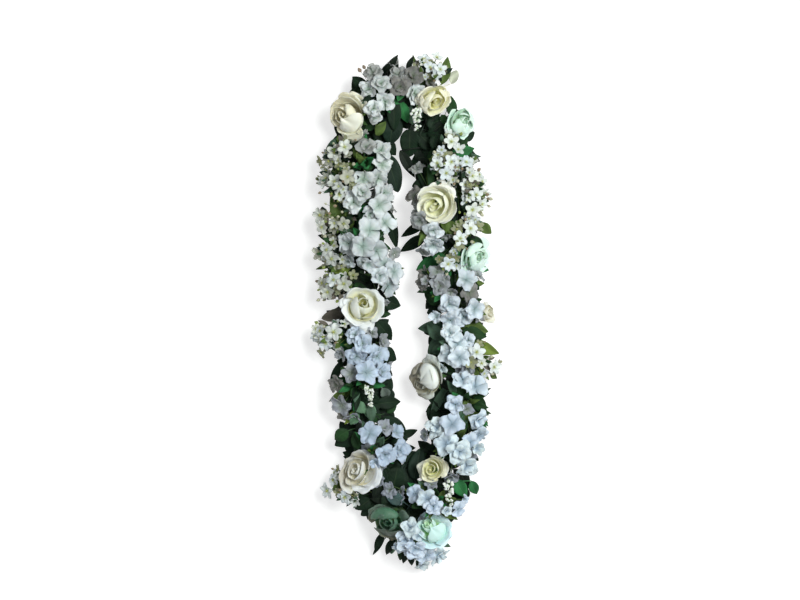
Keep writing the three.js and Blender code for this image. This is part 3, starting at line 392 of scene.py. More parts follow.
def rounded(values):
    """A run of points or radii with its corners cut twice, and so with more of them."""
    for _ in range(2):
        early = values[:-1] * 0.75 + values[1:] * 0.25
        late = values[:-1] * 0.25 + values[1:] * 0.75
        between = np.stack([early, late], 1).reshape(-1, *values.shape[1:])
        values = np.concatenate([values[:1], between, values[-1:]])
    return values


class Builder:
    """Collects the closed sheets and tubes of one piece, with what the materials read at each point.

    grain: across the sheet (-1 to 1), along it (0 to 1), and a number of its own (1 more on its back).
    tint: the petal's or leaf's own colour. rnd: the piece's own random draws."""

    def __init__(self, seed=0):
        self.rnd = seeded(seed)
        self.points = []
        self.quads = []
        self.grain = []
        self.tint = []
        self.slots = []
        self.count = 0

    def add(self, points, quads, grain, tint, slot):
        self.points.append(points)
        self.quads.append(quads + self.count)
        self.grain.append(grain)
        self.tint.append(np.broadcast_to(tint, (len(points), 3)))
        self.slots.append(np.full(len(quads), slot))
        self.count += len(points)

    def sheet(self, grid, tint, slot, thick=0.3):
        """A thin closed sheet round a grid of points [columns, rows, 3]; it thins towards its rim."""
        n, m = grid.shape[:2]
        normal = np.cross(np.gradient(grid, axis=0), np.gradient(grid, axis=1))
        normal /= np.maximum(1e-9, np.linalg.norm(normal, axis=2, keepdims=True))
        u, v = np.meshgrid(np.linspace(-1, 1, n), np.linspace(0, 1, m), indexing="ij")
        rim = np.minimum(1, 2.2 * (1 - np.abs(u))) * np.minimum(1, 3.0 * (1 - v) + 0.12)
        half = (thick / 2) * (0.45 + 0.55 * np.clip(rim, 0, 1))[:, :, None]
        index = np.arange(n * m).reshape(n, m)
        corners = (index[:-1, :-1], index[1:, :-1], index[1:, 1:], index[:-1, 1:])
        a, b, c, d = (corner.ravel() for corner in corners)
        ring = np.concatenate([index[:, 0], index[-1, 1:], index[-2::-1, -1], index[0, -2:0:-1]])
        after = np.roll(ring, -1)
        quads = [np.stack([a, b, c, d], 1), np.stack([d, c, b, a], 1) + n * m,
                 np.stack([after, ring, ring + n * m, after + n * m], 1)]
        grain = np.stack([u.ravel(), v.ravel(), np.full(n * m, self.rnd())], 1)
        colour = np.broadcast_to(np.clip(tint, 0, 1), (n, m, 3)).reshape(-1, 3)
        points = np.concatenate([grid + normal * half, grid - normal * half]).reshape(-1, 3)
        self.add(points, np.concatenate(quads), np.concatenate([grain, grain + (0, 0, 1)]),
                 np.concatenate([colour, colour]), slot)

    def tube(self, line, radii, tint, slot, own=0.5, sides=7, soft=True):
        """A closed tube along a line of points, with its corners rounded if it is soft."""
        line = np.asarray(line, float)
        radii = np.interp(np.linspace(0, 1, len(line)), np.linspace(0, 1, np.size(radii)), np.ravel(radii))
        if soft and len(line) > 2:
            line, radii = rounded(line), rounded(radii)
        ways = np.gradient(line, axis=0)
        ways /= np.maximum(1e-9, np.linalg.norm(ways, axis=1, keepdims=True))
        first = UP if abs(ways[0][2]) < 0.9 else np.array([1.0, 0, 0])
        across = unit(np.cross(first, ways[0]))
        angles = np.arange(sides) / sides * FULL
        rings = []
        for centre, way, radius in zip(line, ways, radii):
            across = unit(across - way * across.dot(way))
            third = np.cross(way, across)
            ring = np.outer(np.cos(angles), across) + np.outer(np.sin(angles), third)
            rings.append(centre + radius * ring)
        n = len(line)
        index = np.arange(n * sides).reshape(n, sides)
        after = np.roll(index, -1, axis=1)
        start, end = np.full(sides, n * sides), np.full(sides, n * sides + 1)
        quads = [np.stack([index[:-1].ravel(), after[:-1].ravel(), after[1:].ravel(), index[1:].ravel()], 1),
                 np.stack([index[0], start, after[0], after[0]], 1),
                 np.stack([index[-1], after[-1], end, end], 1)]
        lengths = np.concatenate([[0], np.cumsum(np.linalg.norm(np.diff(line, axis=0), axis=1))])
        grain = np.zeros((n * sides + 2, 3))
        grain[:-2, 0] = np.tile(angles / math.pi - 1, n)
        grain[:-2, 1] = np.repeat(lengths / 20.0, sides)
        grain[:, 2] = own
        self.add(np.concatenate(rings + [line[:1], line[-1:]]), np.concatenate(quads), grain, tint, slot)

    def finish(self, name, materials, slot):
        """Makes the mesh, in metres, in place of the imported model's node of this name."""
        points = (np.concatenate(self.points) + SHIFT) * MM
        quads = np.concatenate(self.quads)
        triangle = quads[:, 2] == quads[:, 3]
        sizes = np.where(triangle, 3, 4)
        keep = np.ones(quads.shape, bool)
        keep[triangle, 3] = False
        loops = quads[keep]
        mesh = bpy.data.meshes.new(name + "_fine")
        mesh.vertices.add(len(points))
        mesh.vertices.foreach_set("co", points.astype(np.float32).ravel())
        mesh.loops.add(len(loops))
        mesh.loops.foreach_set("vertex_index", loops.astype(np.int32))
        mesh.polygons.add(len(quads))
        mesh.polygons.foreach_set("loop_start", (np.cumsum(sizes) - sizes).astype(np.int32))
        mesh.polygons.foreach_set("material_index", np.concatenate(self.slots).astype(np.int32))
        mesh.polygons.foreach_set("use_smooth", np.ones(len(quads), bool))
        mesh.update(calc_edges=True)
        mesh.validate()
        grain = mesh.attributes.new("grain", "FLOAT_VECTOR", "POINT")
        grain.data.foreach_set("vector", np.concatenate(self.grain).astype(np.float32).ravel())
        rgba = np.column_stack([np.concatenate(self.tint), np.ones(len(points))])
        tint = mesh.attributes.new("tint", "FLOAT_COLOR", "POINT")
        tint.data.foreach_set("color", rgba.astype(np.float32).ravel())
        for material in materials:
            mesh.materials.append(material)
        made = bpy.data.objects.new(name + "_fine", mesh)
        bpy.context.scene.collection.objects.link(made)
        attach(made, "root")
        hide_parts(name)


# ---------------------------------------------------------------- colours

def rose_look(core, body, rim, bud, off=(0.0, 0.0), **changes):
    """How the photograph shows a rose: colours of its heart, body and rim; the bud's share of the width, its
    place, and how much it is closed; petals that open round it; a colour that shades one side; and petals
    that fold over the bud (direction, spread, place of the rim, height, colour)."""
    usual = dict(grow=1.0, stretch=(0.0, 1.0), closed=0.5, middle=2, outer=4, reach=0.95, shade=None,
                 folds=())
    return SimpleNamespace(core=core, body=body, rim=rim, bud=bud, off=off, **{**usual, **changes})


ROSE_LOOKS = [
    rose_look((0.80, 0.79, 0.36), (0.88, 0.87, 0.60), (0.88, 0.87, 0.74), 0.64, (0.08, 0.02),
              stretch=(0.9, 1.22), reach=0.86, folds=[(3.5, 1.5, 0.50, 0.80, (0.78, 0.74, 0.58))]),
    rose_look((0.62, 0.57, 0.34), (0.88, 0.86, 0.66), (0.92, 0.92, 0.76), 0.50, (-0.08, 0.26),
              grow=1.15, closed=0.55, outer=5, reach=0.98, shade=(-0.9, 0.5, (0.69, 0.65, 0.48)),
              folds=[(-1.0, 2.5, 0.02, 1.04, (0.93, 0.94, 0.80)),
                     (2.9, 1.5, 0.50, 0.78, (0.80, 0.76, 0.58))]),
    rose_look((0.55, 0.80, 0.56), (0.64, 0.84, 0.68), (0.74, 0.92, 0.80), 0.58, (0.0, 0.1),
              grow=1.10, closed=0.6, reach=1.0,
              folds=[(-1.9, 2.5, 0.02, 1.08, (0.70, 0.90, 0.76)),
                     (0.6, 2.0, 0.34, 0.98, (0.74, 0.92, 0.80))]),
    rose_look((0.64, 0.67, 0.32), (0.89, 0.89, 0.72), (0.93, 0.94, 0.87), 0.66, (-0.26, -0.16),
              grow=1.06, closed=0.10, middle=5, outer=5, reach=0.88),
    rose_look((0.55, 0.80, 0.56), (0.66, 0.86, 0.74), (0.76, 0.93, 0.84), 0.55, (-0.1, 0.12),
              grow=1.12, closed=0.6, reach=1.12,
              folds=[(-1.2, 2.5, 0.04, 1.06, (0.74, 0.92, 0.84)),
                     (2.2, 1.8, 0.45, 0.92, (0.66, 0.86, 0.72))]),
    rose_look((0.66, 0.66, 0.24), (0.84, 0.84, 0.60), (0.80, 0.84, 0.86), 0.56, (0.04, 0.12),
              closed=0.85, outer=7, reach=0.94),
    rose_look((0.72, 0.70, 0.50), (0.80, 0.78, 0.66), (0.82, 0.82, 0.76), 0.58, closed=0.3, reach=0.9),
    # Rose 8: its second fold's grey-brown, like its shade colour, is painted shade on the side away from the
    # light.
    rose_look((0.40, 0.36, 0.20), (0.66, 0.66, 0.50), (0.78, 0.84, 0.80), 0.46, (-0.22, -0.22),
              grow=1.18, closed=0.40, middle=1, reach=0.96, shade=(-1.0, -0.1, (0.26, 0.24, 0.19)),
              folds=[(0.5, 2.4, 0.02, 1.02, (0.89, 0.94, 0.90)), (2.4, 1.3, 0.5, 0.8, (0.42, 0.39, 0.30))]),
    rose_look((0.72, 0.72, 0.60), (0.66, 0.62, 0.44), (0.82, 0.86, 0.90), 0.48, (-0.14, 0.06),
              grow=1.04, stretch=(1.2, 1.25), closed=0.15, middle=3, outer=6, reach=0.92,
              shade=(-0.9, 0.4, (0.42, 0.39, 0.32))),
    rose_look((0.64, 0.66, 0.28), (0.85, 0.84, 0.58), (0.89, 0.89, 0.74), 0.62,
              grow=1.22, closed=0.05, middle=4, outer=5),
    # Rose 11 lies in shadow: all its colours, from green to grey-green near black, are painted shade.
    rose_look((0.06, 0.26, 0.13), (0.07, 0.20, 0.11), (0.10, 0.15, 0.12), 0.55, (0.1, 0.2),
              grow=1.22, middle=1, shade=(-0.3, -1.0, (0.085, 0.085, 0.07)),
              folds=[(1.7, 2.3, 0.34, 0.94, (0.075, 0.21, 0.12)),
                     (-1.6, 2.4, 0.30, 0.9, (0.085, 0.13, 0.10))]),
    rose_look((0.42, 0.76, 0.16), (0.66, 0.92, 0.78), (0.66, 0.86, 0.92), 0.38, (-0.30, 0.30),
              grow=1.05, closed=0.3, middle=1, outer=6, reach=0.94,
              folds=[(-0.7, 2.2, 0.12, 0.95, (0.64, 0.93, 0.82))]),
]
# Leaf colours, from black-green and dark green to grey-green, bright green, olive, yellow-green and beige.
# The black-green (k) and the darkest greens (d, e) are partly the leaves' own dark green and partly painted
# shade, as dark as leaves deep in shadow between the flowers.
LEAF_TINTS = {
    "k": (0.003, 0.008, 0.005), "d": (0.004, 0.019, 0.008), "e": (0.008, 0.024, 0.016),
    "g": (0.085, 0.150, 0.105), "n": (0.15, 0.18, 0.17), "b": (0.030, 0.19, 0.060),
    "o": (0.11, 0.17, 0.038), "y": (0.22, 0.30, 0.05), "m": (0.16, 0.30, 0.19),
    "t": (0.70, 0.69, 0.60), "w": (0.20, 0.17, 0.15), "s": (0.075, 0.13, 0.14),
    "l": (0.016, 0.060, 0.016),
}
STEM_TINT = (0.06, 0.12, 0.035)


# ---------------------------------------------------------------- roses

def rose_petal(piece, face, turn, width, foot, belly, rim, roll, tints, size=(21, 12), wave=1.0, tuck=0.06,
               centre=(0.0, 0.0), point=0.0, stretch=(0.0, 1.0), shade=None):
    """A petal whose foot, belly and rim are (radius, height) pairs; its rim rolls outwards."""
    rnd = piece.rnd
    u, t = axes(*size)
    phase = rnd() * 6.28
    phase2 = rnd() * 6.28
    notch = (0.06 * rnd() - 0.02) * (1 - point)
    end = t * (1 - 0.07 * u ** 2 - 0.17 * u ** 4 - notch * np.exp(-(u / 0.2) ** 2) * t ** 3
               + 0.10 * point * np.exp(-(u / 0.25) ** 2) * t ** 3)
    angle = turn + width / 2 * u * (0.34 + 0.66 * np.sin(np.minimum(1, 1.3 * end) * math.pi / 2))
    r, z = ((1 - end) ** 2 * a + 2 * end * (1 - end) * b + end ** 2 * c for a, b, c in zip(foot, belly, rim))
    # The last stretch rolls back, most of all at its sides.
    last = np.clip((end - 0.70) / 0.30, 0, 1)
    sides = (0.35 + 0.65 * np.abs(u) ** 1.4) * (0.4 + 0.6 * point) + (1 - point) * 0.6
    r = r + roll * last ** 2 * sides * 0.85
    z = z - roll * last ** 2.3 * sides
    span = max(rim[0], belly[0])
    ripple = span * wave * end ** 2.5 * (0.035 * np.sin(2.2 * u + phase) + 0.022 * np.sin(5.3 * u + phase2)
                                         + 0.012 * np.sin(11 * u + phase + phase2))
    r = r * (1 + tuck * u) + ripple
    z = z + ripple * 1.1 + 0.03 * span * np.sin(2.5 * u + phase2) * end ** 2
    x = r * np.cos(angle) + centre[0] * end
    y = r * np.sin(angle) + centre[1] * end
    long, short = turned(x, y, -stretch[0])
    x, y = turned(long * stretch[1], short / stretch[1] ** 0.6, stretch[0])
    grid = face.at(x, y, z)
    along = smooth(end * 1.15)[:, :, None]
    inner, middle, outer = tints
    tint = np.where(along < 0.5, blend(inner, middle, along * 2), blend(middle, outer, along * 2 - 1))
    tint = tint * (0.95 + 0.08 * rnd())
    if shade:
        way_x, way_y, colour, radius = shade
        side = (grid[:, :, 0] - face.origin[0]) * way_x + (grid[:, :, 1] - face.origin[1]) * way_y
        side = smooth(side / radius * 0.9 + 0.12 * np.sin(3 * u + phase))[:, :, None]
        tint = blend(tint, colour, side * 0.85)
    piece.sheet(grid, tint, PETAL, 0.34)


def rose(piece, face, radius, turn, look):
    """A bud of wrapped petals, petals that fold over it or open round it, and wide outer ones."""
    rnd = piece.rnd
    radius = radius * look.grow
    height = radius * 0.95 / look.grow ** 0.5
    core, body, edge = look.core, look.body, look.rim
    off = np.array(look.off) * radius
    shading = look.shade and (*look.shade, radius)

    def petal(angle, width, foot, belly, rim, roll, tints, shade=shading, **more):
        """A petal with its places and roll as shares of the rose's radius and height."""
        places = [(r * radius, z * height) for r, z in (foot, belly, rim)]
        rose_petal(piece, face, angle, width, *places, radius * roll, tints, shade=shade, **more)

    for k in range(3):
        petal(turn + k * 2.1, 2.7, (0.12, 0.0), (0.5, 0.08), (0.66, 0.42), 0.0, [core, core, body],
              shade=None, size=(13, 8), wave=0.4)
    angle = turn
    for share in (0.14, 0.30, 0.47, 0.63, 0.79, 0.95):
        angle += 2.0 + 0.9 * rnd()
        deep = 1 - share
        r = look.bud * share
        top = 0.99 - 0.05 * share * (1 - look.closed) + 0.02 * rnd()
        petal(angle, 4.2 - 2.1 * share, (r * 0.5, 0.3), (r * (1.25 + 0.6 * look.closed), top * 0.66),
              (r * (1.0 - 0.78 * look.closed * share), top - 0.10 * look.closed * deep),
              0.012 + 0.04 * share * (1 - 0.6 * look.closed),
              [blend(body, core, 0.9), blend(body, core, 0.25 + 0.6 * deep),
               blend(edge, core, 0.15 + 0.5 * deep)],
              size=(19, 10), wave=0.7 + 0.5 * share, tuck=0.10, centre=off, stretch=look.stretch)
    for k in range(look.middle):
        share = (k + 0.5) / look.middle
        r = look.bud + (0.84 - look.bud) * share
        angle += 2.1 + 0.8 * rnd()
        petal(angle, 2.5 - 0.4 * share, (0.2, 0.12), (r * 1.05, 0.38), (r, 0.97 - 0.16 * share),
              0.05 + 0.06 * share,
              [core, blend(body, core, 0.15 * (1 - share)), blend(edge, body, 0.5 - 0.4 * share)],
              wave=1.1 + 0.4 * share, tuck=0.09, centre=off * (0.75 - 0.5 * share), stretch=look.stretch,
              point=0.4 * rnd())
    for way, width, place, tall, tint in look.folds:
        # A fold-over petal stands outside the bud and leans in, so that its back shows from above.
        petal(way, width, (0.25, 0.05), (1.28, 0.62), (place, tall + 0.07), 0.05,
              [blend(tint, body, 0.3), tint, blend(tint, edge, 0.4)],
              size=(25, 16), wave=0.55, tuck=0.03, centre=off * 0.5, point=0.5)
    for k in range(look.outer):
        share = k / (look.outer - 1)
        r = look.reach * (0.92 + 0.10 * share)
        angle += FULL / look.outer * 2 + 0.25 + 0.35 * rnd()
        petal(angle, 1.9 - 0.25 * share, (0.12, 0.02), (r * 0.72, 0.06 + 0.12 * rnd()),
              (r, 0.66 - 0.30 * share), 0.10 + 0.06 * share,
              [blend(body, core, 0.4), blend(edge, body, 0.25), edge],
              size=(25, 14), wave=1.9, point=0.6 * rnd(), tuck=0.04)
    for k in range(5):
        sepal(piece, face, turn + k * FULL / 5, radius * 0.62)
    # The hip, as radius and height pairs from the stalk up.
    hip = np.array([(1.5, -HIP_LENGTH), (2.6, -6.6), (3.9, -5), (4.4, -3.4), (4.1, -1.6), (4.2, 0.2),
                    (3.2, 1.4)])
    widths, levels = (np.interp(np.linspace(0, 6, 12), range(7), column) for column in hip.T)
    piece.tube(face.axis(levels), widths, (0.10, 0.19, 0.05), STEM, sides=12, soft=False)


def sepal(piece, face, turn, length):
    u, t = axes(5, 8)
    half = 2.4 * np.sin(np.clip(t * 0.93 + 0.07, 0, 1) * math.pi) ** 0.7 + 0.15
    z = -1.6 + length * (0.34 * t - 0.55 * t ** 2 * piece.rnd()) + 0.35 * u ** 2
    piece.sheet(face.at(*turned(3.0 + length * t * 0.86, u * half, turn), z), (0.07, 0.15, 0.045), GREEN, 0.4)


# ---------------------------------------------------------------- florets, stars, bells, leaves

def floret_petal(piece, face, turn, length, broad, rise, base, radius, tint, closed=0.0):
    """A rounded crumpled petal of a floret with this radius."""
    rnd = piece.rnd
    middle, edge = tint
    u, t = axes(13, 11)
    half = broad * (0.13 + 0.87 * np.sin(np.clip(t / 0.70, 0, 1) * math.pi / 2) ** 1.3
                    - 0.30 * smooth((t - 0.68) / 0.32))
    notch = 0.10 * rnd() - 0.03
    end = t * (1 - 0.13 * u ** 2 - 0.20 * u ** 4 - notch * np.exp(-(u / 0.22) ** 2) * t ** 3)
    phase, phase2, phase3 = rnd() * 6.28, rnd() * 6.28, rnd() * 6.28
    fold = (rnd() - 0.42) * 0.95
    twist = (rnd() - 0.5) * 0.55
    crumple = (0.060 * np.sin(3.6 * u + 2.0 * t + phase) + 0.045 * np.sin(6.5 * u - 4.0 * t + phase2)
               + 0.034 * np.sin(2.0 * u + 8.5 * t + phase3) + 0.050 * np.sin(9.5 * u + phase2) * t ** 2)
    z = (rise * end ** 1.6 + fold * radius * (u * half / radius) ** 2 * 2.0 + twist * u * half
         + radius * crumple * end + base + closed * radius * 0.9 * end
         - radius * (0.04 + 0.24 * rnd()) * smooth((end - 0.6) / 0.4))
    out = (0.6 + (length - 0.6) * end) * (1 - 0.45 * closed)
    side = u * half * (1 - 0.10 * abs(fold))
    shade = 0.84 + 0.19 * rnd()
    # Painted shade: each petal darkens by up to 14% in the hollows of its crumples, and towards its foot it
    # takes the heart colour, which is partly painted shade.
    crease = np.clip(0.5 - crumple * 6, 0, 1)[:, :, None]
    colour = blend(middle, edge, smooth(end * 1.5)[:, :, None]) * shade * (1 - 0.14 * crease)
    piece.sheet(face.at(*turned(out, side, turn), z), colour, PETAL)


def floret(piece, face, radius, cup, tint, closed=0.0):
    """A hydrangea floret: broad crumpled petals, often a smaller inner row, and a small eye."""
    rnd = piece.rnd
    radius = radius * 0.96
    petals = 4 if rnd() < 0.55 else 5
    broad = radius * (0.58 if petals == 4 else 0.50)
    lean = rnd() * 6.28
    first = rnd() * 1.5
    for k in range(petals):
        turn = first + k * FULL / petals + 0.5 * (rnd() - 0.5)
        rise = cup * (1.1 if k % 2 == 0 else 0.7) * (0.4 + 1.1 * rnd())
        rise += radius * 0.13 * math.cos(turn - lean)
        floret_petal(piece, face, turn, radius * (0.84 + 0.22 * rnd()), broad * (0.86 + 0.2 * rnd()), rise,
                     0.35 if k % 2 else -0.1, radius, tint, closed)
    if rnd() < 0.6 and closed == 0:
        for k in range(3):
            turn = first + 0.6 + k * FULL / 3 + 0.7 * (rnd() - 0.5)
            floret_petal(piece, face, turn, radius * (0.45 + 0.22 * rnd()), radius * (0.30 + 0.12 * rnd()),
                         radius * (0.18 + 0.30 * rnd()), 0.8, radius * 0.8, tint, 0.15)
    else:
        ball(piece, face, 0.2, max(0.7, radius * 0.065), np.asarray(tint[0]) * 0.85)


def ball(piece, face, low, radius, tint):
    around = np.linspace(0, math.pi, 7)
    line = face.axis(low + radius * (1 - np.cos(around)))
    piece.tube(line, np.maximum(0.08, radius * np.sin(around)), tint, CENTRE, sides=8, soft=False)


def star(piece, face, radius, cup, tint):
    """A small five-petalled flower with rounded petals, a yellow eye and stamens."""
    rnd = piece.rnd
    u, t = axes(7, 8)
    half = radius * 0.37 * np.sin(np.clip(0.08 + 0.80 * t, 0, 1) ** 1.05 * math.pi) ** 0.62
    for k in range(5):
        turn = k * FULL / 5 + 0.2 * (rnd() - 0.5)
        out = 0.4 + radius * (0.92 + 0.12 * rnd()) * t * (1 - 0.10 * u ** 2)
        phase = rnd() * 6.28
        z = (cup * (0.6 + 0.8 * rnd()) * t ** 1.6 + radius * (0.30 * rnd() - 0.06) * u ** 2 * t
             + 0.16 * radius * (rnd() - 0.5) * t + radius * 0.05 * np.sin(4 * t + 3 * u + phase)
             - radius * 0.25 * rnd() * smooth((t - 0.6) / 0.4))
        shade = 0.86 + 0.18 * rnd()
        colour = blend(np.asarray(tint) * (0.72, 0.80, 0.50), tint, smooth(t * 2.6)[:, :, None]) * shade
        piece.sheet(face.at(*turned(out, u * half, turn), z), colour, PETAL, 0.26)
    ball(piece, face, 0.1, radius * 0.11, (0.46, 0.48, 0.14))
    for k in range(5):
        out = face.ring((k + 0.5) * FULL / 5)
        tip = face.origin + out * radius * 0.22 + face.z * radius * 0.28
        foot = face.origin + out * 0.3 + face.z * 0.3
        middle = (foot + tip) / 2 + face.z * 0.15
        piece.tube([foot, middle, tip], [0.1, 0.1, 0.2], (0.60, 0.58, 0.22), CENTRE, sides=4)


def bud(piece, root, tip, radius, tint):
    """A closed bud on its own stalk."""
    root, tip = (np.asarray(p, float) for p in (root, tip))
    bend = (root + tip) / 2 - UP * 0.12 * np.linalg.norm(tip - root)
    piece.tube([root, bend, tip], [0.28, 0.252, 0.224], STEM_TINT, STEM, sides=5)
    face = Face(tip, unit(tip - root), piece.rnd() * 3)
    widths = radius * np.array([0.25, 0.62, 0.92, 1.0, 0.93, 0.72, 0.42, 0.08])
    line = face.axis(-0.2 + radius * 2.6 * np.linspace(0, 1, 8))
    piece.tube(line, widths, tint, PETAL, own=piece.rnd(), soft=False)


def bell(piece, centre, radius, hang):
    """A bell with a flared, waved mouth; hang is the way that it opens."""
    face = Face(centre - hang * radius * 0.9, hang, piece.rnd() * 3)
    around = np.linspace(0, FULL, 15)[:, None]
    t = np.linspace(0, 1, 7)[None, :]
    mouth = smooth((t - 0.8) / 0.2)
    width = radius * (0.25 + 0.95 * np.sin(np.clip(t * 1.25, 0, 1) * math.pi / 2)
                      + 0.16 * mouth * np.cos(6 * around) - 0.14 * smooth((t - 0.5) / 0.3) * (1 - mouth))
    tint = blend((0.70, 0.82, 0.60), (0.93, 0.95, 0.90), smooth(t * 2)[:, :, None])
    piece.sheet(face.at(width * np.cos(around), width * np.sin(around), radius * 2.0 * t), tint, PETAL)


# Each form of leaf: where the blade is widest, how full it is, and its half width as a share of the width.
LEAF_SHAPES = {"round": (0.82, 0.62, 0.50), "long": (0.9, 0.9, 0.50), "pointed": (0.78, 0.85, 0.52)}


def leaf(piece, root, base, tip, width, code, form="pointed", bow=2.0, fold=0.9, draped=False,
         stalk=STALK_RADIUS, size=(9, 21)):
    """A leaf with a folded midrib on a stalk from the root; a draped one ends flat on the table."""
    rnd = piece.rnd
    tint = np.array(LEAF_TINTS[code])
    root, base, tip = (np.asarray(p, float) for p in (root, base, tip))
    way = tip - base
    length = np.linalg.norm(way)
    side = unit([-way[1], way[0], 0])
    up = unit(np.cross(way, side))
    columns, rows = size
    u, t = axes(columns, rows)
    widest, full, share = LEAF_SHAPES[form]
    half = np.sin(t ** widest * math.pi) ** full * share * width
    teeth = 0.0
    if form == "pointed":
        at_rim = (np.abs(u) > 0.99) * (t > 0.05) * (t < 0.95)
        teeth = 0.022 * width * (((t * (rows - 1) / 2) % 1.0) - 0.3) * at_rim
    half = half + 0.3 * (1 - t)
    phase = rnd() * 6.28
    curl = (rnd() - 0.3) * 0.10 * length
    sideways = (rnd() - 0.5) * 0.10 * length
    across = u * half + teeth * np.sign(u) + sideways * np.sin(t * math.pi) * 0.6
    rise = (bow * 4 * t * (1 - t) - curl * t ** 3
            + np.abs(u) * fold * (half / (width / 2)) * (0.2 if draped else 1.15)
            + 0.035 * width * np.sin(9 * t + 2.5 * u + phase) * np.abs(u)
            + 0.012 * width * np.sin(26 * t + phase) * np.abs(u)) * (0.4 if draped else 1.0)
    grid = base + np.multiply.outer(t, way) + np.multiply.outer(across, side) + np.multiply.outer(rise, up)
    if draped:
        fall = np.interp(t, [0, 0.32, 0.66, 1.0], [base[2], base[2] * 0.45, 0.75, 0.55])
        grid[:, :, 2] = fall + 0.25 * np.abs(u) + 0.2 * np.abs(np.sin(9 * t + phase)) * np.abs(u)
    shade = 0.88 + 0.24 * rnd()
    patch = 0.9 + 0.2 * np.sin(5 * t + 3 * u + phase)[:, :, None]
    piece.sheet(grid, tint * shade * patch, GREEN, 0.42)
    # The stalk runs on under the blade as the midrib.
    rib = grid[columns // 2][:int(rows * 0.9)] - up * 0.25
    line = np.concatenate([[root, (root + base) / 2 + up * 0.02 * length], rib])
    widths = np.concatenate([[0.62, 0.6], np.linspace(0.55, 0.14, len(rib))]) * stalk / STALK_RADIUS
    piece.tube(line, widths, np.clip(tint * 1.35 + 0.012, 0, 1), STEM, sides=5, soft=False)


# ---------------------------------------------------------------- materials

class Surface:
    """A material and the nodes that feed its shader."""

    def __init__(self, name):
        self.material = bpy.data.materials.new(name)
        self.material.use_nodes = True
        self.tree = self.material.node_tree
        self.shader = self.tree.nodes["Principled BSDF"]

    def feed(self, socket, value):
        """Links a node's output, or sets a number or a colour on the socket itself."""
        if hasattr(value, "links"):
            self.tree.links.new(value, socket)
        else:
            socket.default_value = (*value, 1) if socket.type == "RGBA" else value

    def node(self, kind, inputs=(), **settings):
        made = self.tree.nodes.new("ShaderNode" + kind)
        for key, value in settings.items():
            setattr(made, key, value)
        for key, value in dict(inputs).items():
            self.feed(made.inputs[key], value)
        return made

    def shade(self, values):
        for key, value in values.items():
            self.feed(self.shader.inputs[key], value)

    def grain(self):
        return self.node("Attribute", attribute_name="grain").outputs["Vector"]

    def tint(self):
        return self.node("Attribute", attribute_name="tint").outputs["Color"]

    def place(self):
        return self.node("TexCoord").outputs["Object"]

    def parts(self, vector):
        return self.node("SeparateXYZ", {0: vector}).outputs

    def math(self, operation, *values):
        return self.node("Math", enumerate(values), operation=operation).outputs[0]

    def noise(self, vector, scale, detail, rough, stretch=(1.0, 1.0, 1.0)):
        scaled = self.node("VectorMath", {0: vector, 1: stretch}, operation="MULTIPLY").outputs[0]
        inputs = {"Vector": scaled, "Scale": scale, "Detail": detail, "Roughness": rough}
        return self.node("TexNoise", inputs).outputs["Fac"]

    def ranged(self, value, low, high, to_low=0.0, to_high=1.0):
        inputs = {"Value": value, "From Min": low, "From Max": high, "To Min": to_low, "To Max": to_high}
        return self.node("MapRange", inputs).outputs["Result"]

    def mixed(self, factor, a, b, kind="MIX"):
        made = self.node("Mix", data_type="RGBA", blend_type=kind)
        for name, value, sort in (("Factor", factor, "VALUE"), ("A", a, "RGBA"), ("B", b, "RGBA")):
            self.feed(next(s for s in made.inputs if s.name == name and s.type == sort), value)
        return next(s for s in made.outputs if s.type == "RGBA")

    def bump(self, height, strength, distance):
        made = self.node("Bump", {"Height": height, "Strength": strength, "Distance": distance})
        self.shade({"Normal": made.outputs["Normal"]})


def petal_material(name, veins, roughness, subsurface, blush, crease=(0.35, 0.0006)):
    """Veins that run from a petal's foot to its rim, under a cloudy blush; crease is the bump."""
    look = Surface(name)
    grain = look.grain()
    lines = look.noise(grain, 1.5, 2.0, 0.5, stretch=(9.0, 1.6, 37.0))
    fine = look.noise(grain, 1.0, 1.0, 0.4, stretch=(26.0, 2.2, 71.0))
    vein = look.math("ADD", look.math("MULTIPLY", lines, 0.65), look.math("MULTIPLY", fine, 0.35))
    cloud = look.noise(look.place(), 130.0, 3.0, 0.6)
    first = look.mixed(look.ranged(vein, 0.36, 0.64, veins, 0.0), look.tint(), blush, "MULTIPLY")
    look.shade({
        "Base Color": look.mixed(look.ranged(cloud, 0.35, 0.75, 0.0, 0.22), first, blush, "MULTIPLY"),
        "Roughness": look.ranged(cloud, 0.3, 0.7, roughness - 0.07, roughness + 0.08),
        "Subsurface Weight": subsurface, "Subsurface Radius": (1.0, 0.85, 0.65), "Subsurface Scale": 0.0016,
        "Specular IOR Level": 0.3, "Sheen Weight": 0.12, "Sheen Roughness": 0.4,
    })
    look.bump(look.math("ADD", vein, look.math("MULTIPLY", cloud, 0.5)), *crease)
    return look.material


